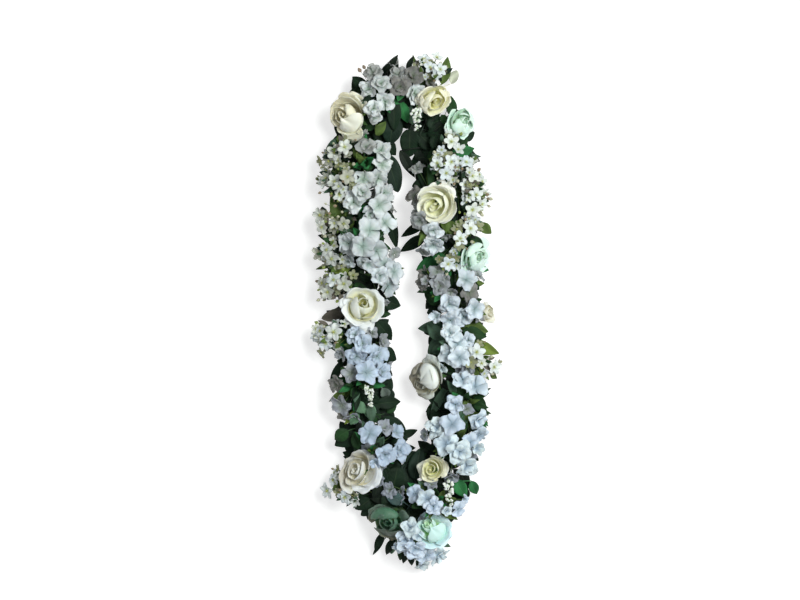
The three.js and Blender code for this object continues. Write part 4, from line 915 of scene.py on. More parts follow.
def leaf_material(name):
    """A blade with its midrib, side veins that slant towards the tip, mottling and a fine net."""
    look = Surface(name)
    grain = look.grain()
    place_across, along, own = look.parts(grain)
    across = look.math("ABSOLUTE", place_across)
    slant = look.math("SUBTRACT", look.math("MULTIPLY", along, 9.0), look.math("MULTIPLY", across, 2.6))
    saw = look.math("ABSOLUTE", look.math("SUBTRACT", look.math("FRACT", slant), 0.5))
    side = look.math("MULTIPLY", look.ranged(saw, 0.0, 0.10, 1.0, 0.0), 0.55)
    vein = look.math("MAXIMUM", look.ranged(across, 0.02, 0.09, 1.0, 0.0), side)
    net = look.noise(grain, 2.2, 4.0, 0.6, stretch=(7.0, 18.0, 31.0))
    cloud = look.noise(look.place(), 95.0, 4.0, 0.6)
    tint = look.tint()
    pale = look.mixed(0.20, tint, (0.20, 0.28, 0.14))
    first = look.mixed(look.math("MULTIPLY", vein, 0.42), tint, pale)
    second = look.mixed(look.ranged(cloud, 0.3, 0.75, 0.55, 0.0), first, (0.45, 0.55, 0.40), "MULTIPLY")
    third = look.mixed(look.ranged(net, 0.42, 0.60, 0.25, 0.0), second, (0.62, 0.70, 0.55), "MULTIPLY")
    # The back of the blade is a little duller and greyer.
    back = look.math("MULTIPLY", look.math("GREATER_THAN", own, 1.0), 0.05)
    look.shade({
        "Base Color": look.mixed(back, third, (0.10, 0.14, 0.10)),
        "Roughness": look.ranged(cloud, 0.3, 0.7, 0.50, 0.68), "Specular IOR Level": 0.13,
        "Subsurface Weight": 0.04, "Subsurface Radius": (0.5, 1.0, 0.3), "Subsurface Scale": 0.001,
    })
    height = look.math("SUBTRACT", look.math("MULTIPLY", net, 0.4), look.math("MULTIPLY", vein, 0.8))
    look.bump(height, 0.5, 0.0006)
    return look.material


def stem_material(name):
    """Streaked green skin with brown patches."""
    look = Surface(name)
    streak = look.noise(look.grain(), 2.0, 3.0, 0.6, stretch=(6.0, 2.0, 13.0))
    cloud = look.noise(look.place(), 220.0, 3.0, 0.6)
    dark = look.ranged(streak, 0.35, 0.65, 0.55, 0.0)
    brown = look.ranged(cloud, 0.4, 0.8, 0.0, 0.35)
    first = look.mixed(dark, look.tint(), (0.50, 0.52, 0.38), "MULTIPLY")
    look.shade({
        "Base Color": look.mixed(brown, first, (0.75, 0.62, 0.42), "MULTIPLY"),
        "Roughness": look.ranged(cloud, 0.3, 0.7, 0.5, 0.7), "Specular IOR Level": 0.35,
    })
    look.bump(look.math("ADD", streak, cloud), 0.4, 0.0004)
    return look.material


def centre_material(name):
    """Grainy pollen."""
    look = Surface(name)
    grains = look.node("TexVoronoi", {"Vector": look.place(), "Scale": 1400.0}).outputs["Distance"]
    speck = look.ranged(grains, 0.0, 0.6, 0.45, 0.0)
    look.shade({"Base Color": look.mixed(speck, look.tint(), (0.62, 0.60, 0.30), "MULTIPLY"),
                "Roughness": 0.7, "Specular IOR Level": 0.25})
    look.bump(grains, 0.5, 0.0005)
    return look.material


def tape_material(name):
    """Crinkled floral tape, wound on a slant over the cord and the stems' ends."""
    look = Surface(name)
    grain = look.grain()
    round_cord, along, _ = look.parts(grain)
    turns = look.math("ADD", look.math("MULTIPLY", along, 2.2), look.math("MULTIPLY", round_cord, 0.5))
    overlap = look.ranged(look.math("FRACT", turns), 0.0, 0.12, 1.0, 0.0)
    crepe = look.noise(grain, 3.0, 4.0, 0.65, stretch=(5.0, 30.0, 1.0))
    cloud = look.noise(look.place(), 80.0, 3.0, 0.6)
    first = look.mixed(look.ranged(crepe, 0.35, 0.7, 0.0, 0.6), (0.030, 0.075, 0.028), (0.055, 0.120, 0.045))
    second = look.mixed(look.math("MULTIPLY", overlap, 0.6), first, (0.012, 0.030, 0.012))
    look.shade({
        "Base Color": look.mixed(look.ranged(cloud, 0.4, 0.75, 0.0, 0.5), second, (0.045, 0.060, 0.030)),
        "Roughness": look.ranged(crepe, 0.3, 0.7, 0.62, 0.82),
    })
    look.bump(look.math("SUBTRACT", look.math("MULTIPLY", crepe, 0.6), overlap), 0.6, 0.0006)
    return look.material


ROSE_CREAM = petal_material("rose_petal_cream", 0.10, 0.52, 0.28, (0.90, 0.84, 0.62))
ROSE_MINT = petal_material("rose_petal_mint", 0.10, 0.52, 0.28, (0.72, 0.88, 0.78))
FLORET_WHITE = petal_material("floret_petal", 0.34, 0.60, 0.22, (0.70, 0.77, 0.86), (0.6, 0.0012))
STAR_WHITE = petal_material("star_petal", 0.14, 0.56, 0.20, (0.82, 0.84, 0.80), (0.5, 0.0009))
BELL_WHITE = petal_material("bell_petal", 0.10, 0.45, 0.25, (0.84, 0.88, 0.80))
LEAF = leaf_material("leaf_blade")
STEM_SKIN = stem_material("green_stem")
POLLEN = centre_material("flower_centre")
TAPE = tape_material("stem_tape")
GREENERY = [LEAF, STEM_SKIN, POLLEN]  # the materials after the petals' own


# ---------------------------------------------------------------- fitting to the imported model

ON_SOLID = 0.2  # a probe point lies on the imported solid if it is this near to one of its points
LEAF_NEAR = 1.5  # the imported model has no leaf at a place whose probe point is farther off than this
HIP_PROBES = [(4.4, 0, -3.5), (-4.4, 0, -3.5)]  # on the widest ring of a rose's hip


def solid_points(name):
    """The points of a piece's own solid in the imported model, ready to be searched."""
    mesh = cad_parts[name].data
    points = np.empty(len(mesh.vertices) * 3, np.float32)
    mesh.vertices.foreach_get("co", points)
    points = points.reshape(-1, 3).astype(float) / MM - SHIFT
    tree = KDTree(len(points))
    for i, p in enumerate(points):
        tree.insert(p, i)
    tree.balance()
    return tree


def pick(tree, way, *choices, near=ON_SOLID):
    """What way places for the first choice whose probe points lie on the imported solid, or else for the
    nearest one, and how near it is."""
    best = None
    for choice in itertools.product(*choices):
        placed, probes = way(*choice)
        distance = sum(tree.find(Vector(p))[2] for p in probes) / len(probes)
        if best is None or distance < best[1] - 1e-6:
            best = (placed, distance)
        if distance < near:
            break
    return best


# The middle and the radius of each flower that is already in place.
BLOOMS = []


def free_spot(point, reach, share):
    """Whether a thing with this reach would lie clear of the flowers; a small share lets them overlap."""
    for x, y, z, r in BLOOMS:
        apart = (point[0] - x) ** 2 + (point[1] - y) ** 2 + (1.6 * (point[2] - z)) ** 2
        if apart < (share * (reach + r)) ** 2:
            return False
    return True


# ---------------------------------------------------------------- cord and roses

def build_cord():
    """The cord, wound with tape whose turns overlap."""
    sides = 20
    count = CORD_SAMPLES * 2
    share = np.arange(count) / count
    index = np.arange(CORD_SAMPLES + 1) / CORD_SAMPLES

    def evened(values):
        """The values at twice as many places, each one the mean of nine neighbours."""
        closed = np.concatenate([values, values[:1]])
        finer = [np.interp(share, index, column) for column in closed.T]
        padded = [np.concatenate([column[-4:], column, column[:4]]) for column in finer]
        return np.stack([np.convolve(column, np.ones(9) / 9, "valid") for column in padded], 1)

    line, out = evened(CORD), evened(OUTWARD)
    angle = np.arange(sides) / sides * FULL
    along = share * CORD_LENGTH
    lap = (along[:, None] / 9.0 + angle / FULL) % 1.0
    radius = CORD_RADIUS * (0.955 + 0.075 * lap) + 0.12 * np.sin(along[:, None] * 0.9 + 3 * angle)
    points = (line[:, None, :] + out[:, None, :] * (radius * np.cos(angle))[:, :, None]
              + UP * (radius * np.sin(angle))[:, :, None])
    here = np.arange(count * sides).reshape(count, sides)
    beside = np.roll(here, -1, axis=1)
    quads = [here, np.roll(here, -1, axis=0), np.roll(beside, -1, axis=0), beside]
    grain = [np.tile(angle / math.pi - 1, count), np.repeat(along / 20.0, sides), np.full(count * sides, 0.5)]
    piece = Builder()
    piece.add(points.reshape(-1, 3), np.stack([corner.ravel() for corner in quads], 1), np.stack(grain, 1),
              (0.04, 0.09, 0.03), 0)
    piece.finish("cord", [TAPE], "cord_tape")


def build_roses():
    for number, (x, y, radius, lean_x, lean_y, rise, colour) in enumerate(ROSES):
        name = f"rose_{number + 1:02d}"
        direction = unit([lean_x, lean_y, 1])

        def way(push, extra):
            middle = np.array([x, y, CORD_HEIGHT + rise + extra]) + unit(off_cord((x, y))) * push
            face = Face(middle - direction * 0.42 * radius, direction)
            return face, [face.at(*probe) for probe in HIP_PROBES]

        face, _ = pick(solid_points(name), way, (0, 2, 4, 6), (0, 4, 8, 12))
        piece = Builder(900 + number)
        rose(piece, face, radius, seeded(101 + number)() * 6, ROSE_LOOKS[number])
        stalk = stalk_line(face.origin - direction * (HIP_LENGTH - 2))
        piece.tube(stalk, [1.5, 1.4], STEM_TINT, STEM, sides=8)
        BLOOMS.append((*(face.origin + face.z * radius * 0.4), radius))
        petals = ROSE_CREAM if colour == "cream" else ROSE_MINT
        piece.finish(name, [petals, *GREENERY], "rose_cream" if colour == "cream" else "rose_mint")


# ---------------------------------------------------------------- clusters of florets and stars

def flower_face(tree, hub, item, turn):
    """The face of one flower, turned away from the hub and up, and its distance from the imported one."""
    x, y, _, rise = item

    def way(push, extra, lean):
        centre = np.array([x, y, skin_height(x, y) + rise + extra]) + unit(off_cord((x, y))) * push
        face = Face(centre, unit(centre - hub) * (0.8 + lean) + UP * 0.7, turn)
        return face, [face.at(0, 0, 0.85)]

    return pick(tree, way, (0, 3, 6), (0, 4, -4, 8, -8, 12), (0, 0.5))


class Cluster:
    """A branch from the cord to a hub and the flowers round it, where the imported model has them."""

    def __init__(self, name, items, hub_lift, seed, dress_seed):
        self.name = name
        tree = solid_points(name)
        draw = seeded(seed)
        looks = [(draw() * math.pi, 0.18 + 0.16 * draw()) for _ in items]
        middle = np.mean([item[:2] for item in items], axis=0)
        under = CORD[nearest(*middle)]
        way_along = TANGENTS[nearest(*items[0][:2])]
        best = None
        for extra, slip in itertools.product((0, 4, -3, 8), (0, 8, -8, 16, -16, 24, -24)):
            hub = np.array([*(under[:2] + HUB_SHARE * (middle - under[:2])), CORD_HEIGHT + hub_lift + extra])
            hub = hub + way_along * slip
            placed = [flower_face(tree, hub, item, look[0]) for item, look in zip(items, looks)]
            total = sum(distance for _, distance in placed)
            if best is None or total < best[0]:
                best = (total, hub, placed)
            if total < ON_SOLID * len(items):
                break
        _, self.hub, placed = best
        self.line = stalk_line(self.hub)
        # Each flower's face, radius and cup.
        self.flowers = [(face, item[2], look[1] * item[2])
                        for (face, _), item, look in zip(placed, items, looks)]
        self.piece = Builder(dress_seed)
        self.piece.tube(self.line, [1.65, 1.43], STEM_TINT, STEM, sides=8)

    def facing(self, spot, outward, upward, turn):
        """A face at the spot that looks away from the hub and up, in these shares."""
        return Face(spot, unit(spot - self.hub) * outward + UP * upward, turn)

    def on_branch(self, share):
        foot = self.line[-2]
        return foot + (self.hub - foot) * share

    def on_way(self, tip, share):
        return self.hub + (tip - self.hub) * share

    def stalk(self, share, face, radius):
        """A flower's stalk, from its place on the branch to the flower's back."""
        root = self.on_branch(0.35 + 0.6 * share)
        back = face.origin - face.z * 2.0
        line = [root, root + (back - root) * 0.55 - UP * 1.2, back, face.origin - face.z * 0.1]
        widths = [radius, radius * 0.85, radius * 0.85, radius * 1.5]
        self.piece.tube(line, widths, STEM_TINT, STEM, own=self.piece.rnd(), sides=6)


def floret_tint(point, rnd, kind="white"):
    """White in the light, bluer low down and to the right, grey where the photograph has it in shadow."""
    x, y = point[:2]
    blue = min(1.0, max(0.0, 0.50 - y / 300 + x / 600))
    if kind == "grey":
        return (0.18, 0.21, 0.15), (0.245, 0.24, 0.225)
    if kind == "dusk":
        return (0.27, 0.32, 0.26), blend((0.42, 0.43, 0.41), (0.38, 0.41, 0.47), blue)
    # Painted shade: high on the left the florets are up to 18% darker, in waves.
    shade_level = 0.91 + 0.09 * math.sin(0.9 * x + 0.37 * y) if x < 0 < y else 1.0
    # Painted shade and light low down: the lower left is blended towards a darker blue, and the rest of the
    # low florets are painted up to 9% lighter.
    low = smooth((-y - 5) / 30)
    left = low * smooth((20 - x) / 20) * smooth((y + 200) / 30)
    edge = blend((0.89, 0.93, 0.90), (0.77, 0.88, 1.0), blue)
    edge = blend(edge, (0.58, 0.70, 0.86), left * 0.75) * (1 + 0.09 * low * (1 - left))
    # The heart colour is partly the floret's own green and partly painted shade in its cup.
    heart = blend((0.36, 0.48, 0.37), (0.35, 0.46, 0.56), blue)
    return heart, np.minimum(edge * shade_level * (0.87 + 0.16 * rnd()), 0.98)


# The florets, as (cluster, floret), that the photograph has in half shadow or in shadow.
SHADES = {
    (2, 1): "dusk", (8, 3): "dusk", (8, 5): "dusk", (1, 1): "dusk", (9, 2): "dusk", (10, 1): "dusk",
    (10, 3): "dusk", (11, 2): "dusk", (11, 3): "dusk", (3, 1): "dusk",
    (2, 2): "grey", (2, 3): "grey", (8, 4): "grey", (12, 2): "grey", (10, 2): "grey", (11, 1): "grey",
}
# Clusters that the photograph shows with more green between their florets.
OPEN_CLUSTERS = (3, 4, 8)
# More florets that the photograph shows: place, radius, colour (white, or dusk and grey, the painted half
# shadow and painted shadow), and the cluster each one belongs to.
MORE_FLORETS = [
    (-16, -178, 34, 10, "dusk", 16), (-27, -170, 31, 8, "dusk", 16), (-6, -186, 32, 8, "dusk", 16),
    (-12, 60, 30, 9, "dusk", 5), (-62, -103, 33, 8, "grey", 8), (-31, 196, 44, 9, "white", 1),
]
# Buds on their own stalks: place, size, colour, and the cluster.
MORE_BUDS = [
    (-45, 241, 42, 2.1, (0.30, 0.22, 0.15), 1), (-41, 244, 42, 1.9, (0.26, 0.20, 0.14), 1),
]
# More stars: place and radius. Each one belongs to the spray whose middle lies nearest.
MORE_STARS = [
    (66, 131, 36, 7), (61, 119, 38, 7), (69, 113, 34, 6), (64, 103, 37, 7), (74, 122, 31, 6),
    (58, 139, 38, 6),
    (-90, -16, 30, 6), (-86, -27, 29, 6), (-92, -24, 26, 5),
    (59, 128, 43, 6), (60, 111, 43, 6), (61, 95, 40, 6), (55, 146, 41, 6), (70, 137, 33, 6), (69, 94, 33, 6),
]

# How far from the cord, and how low down, the flowers and leaves round the main ones may lie.
FLORET_REACH = 33
FLORET_LOW = 22
YOUNG_LEAF_LOW = 20
STAR_REACH = 43
NARROW_REACH = 38
STAR_LOW = 12
STAR_LEAF_LOW = 4
# How many places are tried for them.
YOUNG_LEAVES = 7
STAR_LEAVES = 6
STAR_COMPANY = 13


def small_florets(cluster, face, radius, count, kind):
    """Smaller florets fill in round a main one, where there is room."""
    piece = cluster.piece
    rnd = piece.rnd
    for _ in range(count):
        turn = rnd() * FULL
        reach = radius * (0.9 + 0.5 * rnd())
        size = radius * (0.52 + 0.28 * rnd())
        drop = 2 + 9 * rnd()
        spot = face.origin + face.ring(turn) * reach - UP * drop
        outside = reach_from_cord(spot) > FLORET_REACH or spot[2] < FLORET_LOW
        if outside or not free_spot(spot, size, 0.62):
            continue
        stray = 0.35 * np.array([rnd() - 0.5, rnd() - 0.5, 0])
        small = Face(spot, unit(spot - cluster.hub) * 1.1 + UP * 0.6 + stray, rnd() * 3)
        BLOOMS.append((*spot, size))
        shade = "dusk" if kind == "white" and drop > 6 else kind
        floret(piece, small, size, size * (0.25 + 0.35 * rnd()), floret_tint(spot, rnd, shade),
               closed=0.35 * (rnd() > 0.7))
        cluster.stalk(rnd(), small, 0.5)


def young_leaves(cluster, face, radius):
    """Young leaves stand up between the florets, where there is room."""
    rnd = cluster.piece.rnd
    for _ in range(YOUNG_LEAVES):
        turn = rnd() * FULL
        reach = radius * (1.0 + 0.25 * rnd())
        tip = face.origin + face.ring(turn) * reach + face.z * (rnd() - 0.6) * 5
        clear = all(free_spot(cluster.on_way(tip, share), 0.5, 0.92) for share in (0.6, 0.75, 0.88, 1.0))
        if tip[2] >= YOUNG_LEAF_LOW and clear:
            code = choose(rnd, "blodlgob")
            root, base = (cluster.on_way(tip, share) for share in (0.30, 0.42))
            leaf(cluster.piece, root, base, tip, 4.5 + 3.5 * rnd(), code, size=(7, 9), bow=1.4, stalk=0.5)


def build_hydrangeas():
    clusters = []
    for number, items in enumerate(HYDRANGEAS):
        grown = [(x, y, radius * FLORET_SCALE, rise) for x, y, radius, rise in items]
        cluster = Cluster(f"hydrangea_{number + 1:02d}", grown, 13, 301 + number, 1300 + number)
        clusters.append(cluster)
        BLOOMS.extend((*face.origin, radius) for face, radius, _ in cluster.flowers)
    for number, cluster in enumerate(clusters, 1):
        piece = cluster.piece
        rnd = piece.rnd
        kinds = [SHADES.get((number, i + 1), "white") for i in range(len(cluster.flowers))]
        for i, (face, radius, cup) in enumerate(cluster.flowers):
            floret(piece, face, radius, cup, floret_tint(face.origin, rnd, kinds[i]))
            cluster.stalk((i + 1) / (len(kinds) + 1), face, 0.6)
        for i, (face, radius, _) in enumerate(cluster.flowers):
            small_florets(cluster, face, radius, 1 if number in OPEN_CLUSTERS else 2, kinds[i])
        for face, radius, _ in cluster.flowers:
            young_leaves(cluster, face, radius)
        for x, y, z, size, kind, owner in MORE_FLORETS:
            if owner == number:
                face = cluster.facing(np.array([x, y, z], float), 0.6, 0.8, rnd() * 3)
                BLOOMS.append((x, y, z, size))
                floret(piece, face, size, size * 0.4, floret_tint(face.origin, rnd, kind))
                cluster.stalk(0.8, face, 0.55)
        for x, y, z, size, tint, owner in MORE_BUDS:
            if owner == number:
                bud(piece, cluster.hub, (x, y, z), size, tint)
        piece.finish(cluster.name, [FLORET_WHITE, *GREENERY], "hydrangea_white")


def star_tint(spot, rnd):
    """White, but many are dull beige high on the left, where the photograph has them in shadow."""
    fresh = blend((0.83, 0.87, 0.79), (0.72, 0.80, 0.87), rnd() * 0.8)
    dull = smooth((spot[1] + 40) / 80) * (spot[0] < 0)
    return blend(fresh, (0.42, 0.43, 0.35), dull * (0.15 + 0.85 * rnd()))


BUD_TINTS = ((0.24, 0.30, 0.08), (0.50, 0.50, 0.36), (0.27, 0.21, 0.13))


def star_leaves(spray, face):
    """Small leaves under a star."""
    rnd = spray.piece.rnd
    for _ in range(STAR_LEAVES):
        away = face.ring(rnd() * FULL)
        foot = face.origin - face.z * (5 + 5 * rnd()) - away * 3
        tip = foot + away * (9 + 6 * rnd()) + face.z * (3 * rnd() - 1)
        if tip[2] >= STAR_LEAF_LOW and reach_from_cord(tip) <= NARROW_REACH:
            root = spray.on_branch(0.4 + 0.5 * rnd())
            code = choose(rnd, "kldowdkl")
            leaf(spray.piece, root, foot, tip, 5 + 4 * rnd(), code, "pointed" if rnd() < 0.5 else "long",
                 bow=1.0, fold=0.5, stalk=0.4, size=(7, 9))


def star_company(spray, face, radius):
    """Smaller stars, buds and narrow leaves round a star, where there is room."""
    piece = spray.piece
    rnd = piece.rnd
    for _ in range(STAR_COMPANY):
        turn = rnd() * FULL
        reach = radius * (0.75 + 0.95 * rnd())
        spot = face.origin + face.ring(turn) * reach - face.z * (1 + 6 * rnd())
        limit = NARROW_REACH if spot[0] < 0 and spot[1] > 40 else STAR_REACH
        if reach_from_cord(spot) > limit or spot[2] < STAR_LOW:
            continue
        root = spray.on_branch(0.5 + 0.5 * rnd())
        kind = rnd()
        if kind < 0.42:
            size = radius * (0.50 + 0.3 * rnd())
            if free_spot(spot, size, 0.50):
                BLOOMS.append((*spot, size))
                small = spray.facing(spot, 1, 0.5, rnd() * 3)
                tint = star_tint(spot, rnd) * 0.85 if rnd() < 0.5 else (0.30, 0.32, 0.20)
                star(piece, small, size, size * (0.1 + 0.7 * rnd()), tint)
                spray.stalk(rnd(), small, 0.4)
        elif kind < 0.75:
            size = 1.0 + 0.9 * rnd()
            if free_spot(spot, size, 0.6):
                BLOOMS.append((*spot, size))
                bud(piece, root, spot, size, choose(rnd, BUD_TINTS))
        else:
            half = unit(spot - root) * (7 + 5 * rnd()) * 0.5
            code = choose(rnd, "ololwge")
            leaf(piece, root, spot - half, spot + half, 3.2 + 2 * rnd(), code, "long", bow=0.8, fold=0.4,
                 stalk=0.4, size=(7, 9))


def build_stars():
    middles = [np.mean([item[:2] for item in items], axis=0) for items in STAR_SPRAYS]
    for number, items in enumerate(STAR_SPRAYS):
        spray = Cluster(f"star_spray_{number + 1:02d}", items, 8, 501 + number, 1500 + number)
        piece = spray.piece
        rnd = piece.rnd
        for i, (face, radius, cup) in enumerate(spray.flowers):
            BLOOMS.append((*face.origin, radius))
            star(piece, face, radius, cup, star_tint(face.origin, rnd))
            spray.stalk((i + 1) / (len(items) + 1), face, 0.5)
        for face, radius, _ in spray.flowers:
            star_leaves(spray, face)
            star_company(spray, face, radius)
        for x, y, z, size in MORE_STARS:
            if number == np.argmin([math.hypot(m[0] - x, m[1] - y) for m in middles]):
                face = spray.facing(np.array([x, y, z], float), 0.5, 0.8, rnd() * 3)
                BLOOMS.append((x, y, z, size))
                star(piece, face, size, size * 0.3, star_tint(face.origin, rnd))
                spray.stalk(0.8, face, 0.45)
        piece.finish(spray.name, [STAR_WHITE, *GREENERY], "star_white")


# ---------------------------------------------------------------- sprays of bells

BELLS = 30


def build_bells():
    for number, (start, end) in enumerate(BEAD_SPRAYS):
        name = f"bead_spray_{number + 1:02d}"

        def way(extra):
            top, foot = (np.array([x, y, CORD_HEIGHT + z + extra]) for x, y, z in (start, end))
            probes = []
            for k, swing in ((4, 1), (5, -1)):
                at = top + (foot - top) * (k + 0.5) / 6 + np.array([swing * 1.5, 0, 0.5 * swing])
                probes += [at - UP * 2.1, at + (swing * 2.1, 0, 0)]
            return (top, foot), probes

        (top, foot), _ = pick(solid_points(name), way, (0, 4, 8, 12, -4, -8))
        piece = Builder(1700 + number)
        rnd = piece.rnd
        arc = [*stalk_line(top), (top + foot) / 2 + UP * 1.2, foot]
        piece.tube(arc, np.linspace(1.1, 0.45, len(arc)), STEM_TINT, STEM, sides=7)
        for k in range(BELLS):
            share = (k + 0.4 + 1.2 * rnd()) / (BELLS + 1.5)
            swing = (rnd() - 0.5) * 2
            at = top + (foot - top) * share + UP * 1.2 * math.sin(share * math.pi)
            turn = rnd() * 6.28
            reach = (3.4 + 1.2 * rnd()) * (1.15 - 0.55 * share)
            size = 1.30 - 0.50 * share + 0.35 * rnd()
            spot = at + (swing * reach, 1.6 * math.sin(turn), 0.6 + 1.8 * abs(math.cos(turn)))
            stalk = [at, (at + spot) / 2 + UP * 0.9, spot + UP * 0.3]
            piece.tube(stalk, [0.3, 0.26, 0.24], STEM_TINT, STEM, sides=4)
            bell(piece, spot, size, unit([0.35 * swing, 0.5 * (rnd() - 0.5), -0.75 + 0.9 * rnd()]))
        piece.finish(name, [BELL_WHITE, *GREENERY], "bell_white")


# ---------------------------------------------------------------- foliage

# One letter of LEAF_TINTS for each leaf, in the order of the lists, as the photograph shows them.
LEAF_CODES = [
    "degddd", "edod", "dddnd", "dddmd", "deess", "gggsdd", "ddbb", "dddd", "kkdgot", "godyooo",
    "bdoddywd", "odddmdbso", "odoydodod", "bbogbo", "bgodbd",
]
# The leaves, as (stem, leaf), that aren't pointed.
LEAF_FORMS = {
    (1, 1): "long", (2, 2): "long", (6, 1): "long", (10, 6): "long", (12, 6): "long",
    (1, 2): "round", (1, 4): "round", (2, 1): "round", (4, 2): "round", (5, 1): "round", (5, 2): "round",
    (5, 3): "round", (9, 6): "round", (11, 7): "round", (12, 5): "round",
}
# Where the small leaves that crowd the cord lie: at every fifth sample, so far to its sides.
FILL_SAMPLES = 5
FILL_OFFSETS = (-23, -17, -11, -5, 0, 5, 11, 17, 23)
FILL_REACH = 31
SHARED_WITHIN = 24  # two stems that are both this near share a stretch of the cord


def plan_distance(point, x, y):
    return math.hypot(point[0] - x, point[1] - y)


def nearest_on_line(line, x, y):
    """The point of a stem that lies nearest in plan, of five on each of its stretches."""
    points = [a + (b - a) * t for a, b in zip(line, line[1:]) for t in (0.1, 0.3, 0.5, 0.7, 0.9)]
    return min(points, key=lambda point: plan_distance(point, x, y))


def stem_line(side, start, end):
    """A stem that runs beside the cord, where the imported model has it."""
    first = nearest(*start)
    span = nearest(*end) - first
    if abs(span) > CORD_SAMPLES / 2:
        span -= math.copysign(CORD_SAMPLES, span)
    steps = max(2, int(abs(span) / STEP_SAMPLES + 0.5))
    first_step = int(first / STEP_SAMPLES + 0.5)
    way = 1 if span > 0 else -1
    lane = 1.8 if side * way < 0 else 0.9
    offset = CORD_RADIUS * math.cos(math.pi / 6) + ROOT_GAP + lane + 0.15
    places = [((first_step + way * i) * STEP_SAMPLES) % CORD_SAMPLES for i in range(steps + 1)]
    line = [CORD[index] + OUTWARD[index] * side * offset for index in places]
    line[0] = line[0] + (line[1] - line[0]) * 0.15
    line[-1] = line[-1] + (line[-2] - line[-1]) * 0.15
    return line


def table_leaves(piece, tree, line, side):
    """Leaves that hang from the stem to the table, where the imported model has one."""
    rnd = piece.rnd
    inner = side < 0
    for place, share in [(0.25, 1), (0.75, 0.9)] if len(line) > 6 else [(0.5, 1)]:
        spot = place * (len(line) - 1)
        step = min(len(line) - 2, int(spot))
        root = line[step] + (line[step + 1] - line[step]) * (0.2 + 0.6 * (spot - step))
        index = nearest(root[0], root[1])
        out = OUTWARD[index] * side

        def way(slant, extra):
            base = root + out * (5 + extra)
            base[2] = CORD_HEIGHT - 7
            tip = base + unit(out + TANGENTS[index] * slant) * 30 * (0.75 if inner else 1) * share
            tip[2] = 0
            return (base, tip), [tip]

        (base, tip), distance = pick(tree, way, (0.7, -0.7, 1.3, -1.3, 0.2), (0, 3, -3), near=0.9)
        if distance < LEAF_NEAR:
            code = choose(rnd, "dlge")
            leaf(piece, root, base, tip, 12 if inner else 15, code, draped=True)


def stem_leaf(piece, tree, line, item, code, form):
    """A leaf of the lists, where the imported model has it."""
    bx, by, tx, ty, width, base_height, tip_height = item

    def way(extra, shrink, swing):
        """The leaf raised, made smaller and turned about its base by so much."""
        base = np.array([bx, by, base_height + extra], float)
        along = np.array([*turned(tx - bx, ty - by, swing), tip_height - base_height])
        tip = base + along * shrink
        up = unit(np.cross(along, [-along[1], along[0], 0]))
        return (base, tip, width * shrink), [tip + up * 0.35, tip - up * 0.35]

    (base, tip, width), _ = pick(tree, way, (0, -3, 3, -6, 6, -9, 9), (1, 0.82), (0, 0.2, -0.2))
    root = nearest_on_line(line, bx - 0.4 * (tx - bx), by - 0.4 * (ty - by))
    leaf(piece, root, base, tip, width, code, form)


def fill_round(piece, number, stem_lines):
    """Small dark leaves crowd the cord under the flowers, most of them where no flower covers it.

    Each stretch of the cord is filled from the nearest stem, or by turns from the nearest two."""
    rnd = piece.rnd
    for index in range(0, CORD_SAMPLES, FILL_SAMPLES):
        here = CORD[index]
        near = [min(plan_distance(p, *here[:2]) for p in line) for line in stem_lines]
        order = np.argsort(near)[:2]
        for k, offset in enumerate(FILL_OFFSETS):
            if order[k % 2 if near[order[1]] < SHARED_WITHIN else 0] != number:
                continue
            across = offset + 6 * (rnd() - 0.5)
            slide = 8 * (rnd() - 0.5)
            turn = 6.28 * rnd()
            rest = rnd()
            middle = here + OUTWARD[index] * across + TANGENTS[index] * slide
            covered = any(plan_distance(middle, x, y) < 3.0 + radius for x, y, _, radius in BLOOMS)
            if covered and rest < 0.55:
                continue
            length = 13 + 9 * rnd()
            run = np.array([math.cos(turn), math.sin(turn), 0]) * length
            if np.dot(middle - here, run) < 0:
                run = -run
            low = 7 + 9 * rnd() if abs(across) > 9 else 26.5 + 3 * rnd()
            base = middle - run * 0.5
            tip = middle + run * 0.5
            base[2] = low + 2
            tip[2] = max(3.0, low + 10 * (rnd() - 0.55))
            if plan_distance(tip, *here[:2]) > FILL_REACH:
                tip = base + (tip - base) * 0.7
            root = nearest_on_line(stem_lines[number], base[0], base[1])
            # Mostly the darkest greens, which are partly painted shade in the gaps under the flowers.
            code = choose(rnd, "ddkdledk")
            leaf(piece, root, base, tip, length * (0.42 + 0.18 * rnd()), code,
                 "pointed" if rnd() < 0.6 else "round", size=(7, 9), stalk=0.5, bow=1.2)


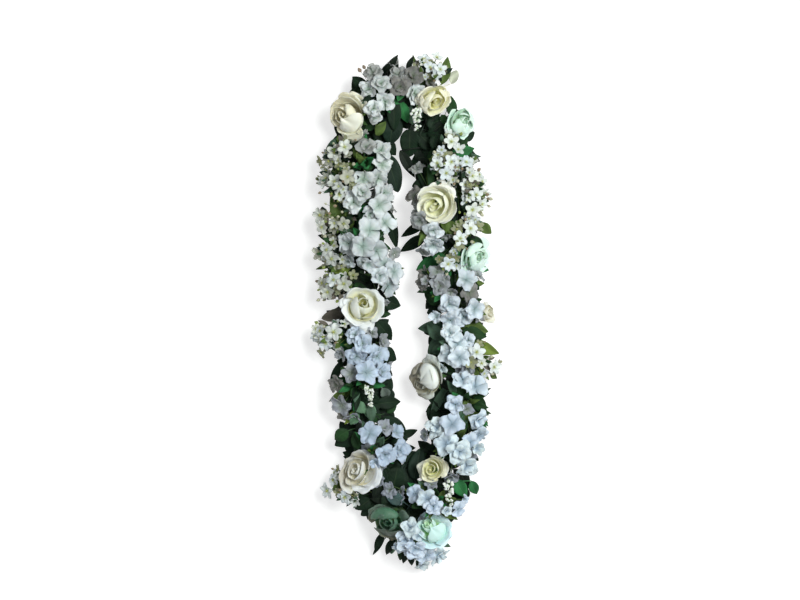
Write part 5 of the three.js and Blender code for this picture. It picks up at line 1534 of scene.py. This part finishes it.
def build_foliage():
    stem_lines = [stem_line(side, start, end) for side, start, end, _ in LEAFY_STEMS]
    for number, (side, _, _, leaves) in enumerate(LEAFY_STEMS):
        name = f"foliage_{number + 1:02d}"
        tree = solid_points(name)
        line = stem_lines[number]
        piece = Builder(1900 + number)
        piece.tube(line, 1.75, (0.06, 0.12, 0.04), STEM, sides=9)
        table_leaves(piece, tree, line, side)
        for i, item in enumerate(leaves):
            form = LEAF_FORMS.get((number + 1, i + 1), "pointed")
            stem_leaf(piece, tree, line, item, LEAF_CODES[number][i], form)
        fill_round(piece, number, stem_lines)
        for bx, by, tx, ty, width, base_height, tip_height, code in MORE_LEAVES:
            if number == np.argmin([min(plan_distance(p, bx, by) for p in other) for other in stem_lines]):
                root = nearest_on_line(line, bx, by)
                leaf(piece, root, (bx, by, base_height), (tx, ty, tip_height), width, code)
        piece.finish(name, [LEAF, *GREENERY], "leaf_green")


build_cord()
build_roses()
build_hydrangeas()
build_stars()
build_bells()
build_foliage()


# ---------------------------------------------------------------- floor, light, camera

def placed_object(name, data, location=(0, 0, 0)):
    made = bpy.data.objects.new(name, data)
    made.location = location
    bpy.context.scene.collection.objects.link(made)
    return made


def area_light(name, location, size, power, colour):
    """A square light that shines on the middle of the lei."""
    data = bpy.data.lights.new(name, "AREA")
    data.size = size
    data.energy = power
    data.color = colour
    made = placed_object(name, data, location)
    made.rotation_euler = (Vector((0, 0, 0.03)) - Vector(location)).to_track_quat("-Z", "Y").to_euler()


FLOOR_REACH = 6.0
corners = [(x * FLOOR_REACH, y * FLOOR_REACH, 0) for x, y in ((-1, -1), (1, -1), (1, 1), (-1, 1))]
floor_mesh = bpy.data.meshes.new("floor")
floor_mesh.from_pydata(corners, [], [(0, 1, 2, 3)])
pale_floor = Surface("pale_floor")
pale_floor.shade({"Base Color": (0.52, 0.52, 0.52), "Roughness": 0.9, "Specular IOR Level": 0.1,
                  "Emission Color": (1, 1, 1), "Emission Strength": 0.66})
floor_mesh.materials.append(pale_floor.material)
floor = placed_object("floor", floor_mesh)

area_light("key", (0.75, 0.40, 1.75), 0.8, 40, (0.975, 1.0, 0.98))
area_light("fill", (-1.3, -0.9, 1.3), 1.4, 6.5, (0.94, 0.97, 1.0))
area_light("top", (0.1, 0.0, 2.4), 1.6, 6, (0.96, 0.98, 1.0))

world = bpy.data.worlds.new("studio")
world.use_nodes = True
background = world.node_tree.nodes["Background"]
background.inputs["Color"].default_value = (0.95, 0.97, 1.0, 1)
background.inputs["Strength"].default_value = 0.07
bpy.context.scene.world = world
bpy.context.scene.view_settings.view_transform = "Standard"

camera_data = bpy.data.cameras.new("camera")
camera_data.lens = 85
camera_data.sensor_width = 36
bpy.context.scene.camera = placed_object("camera", camera_data, (-0.0070, 0.0122, 1.93))
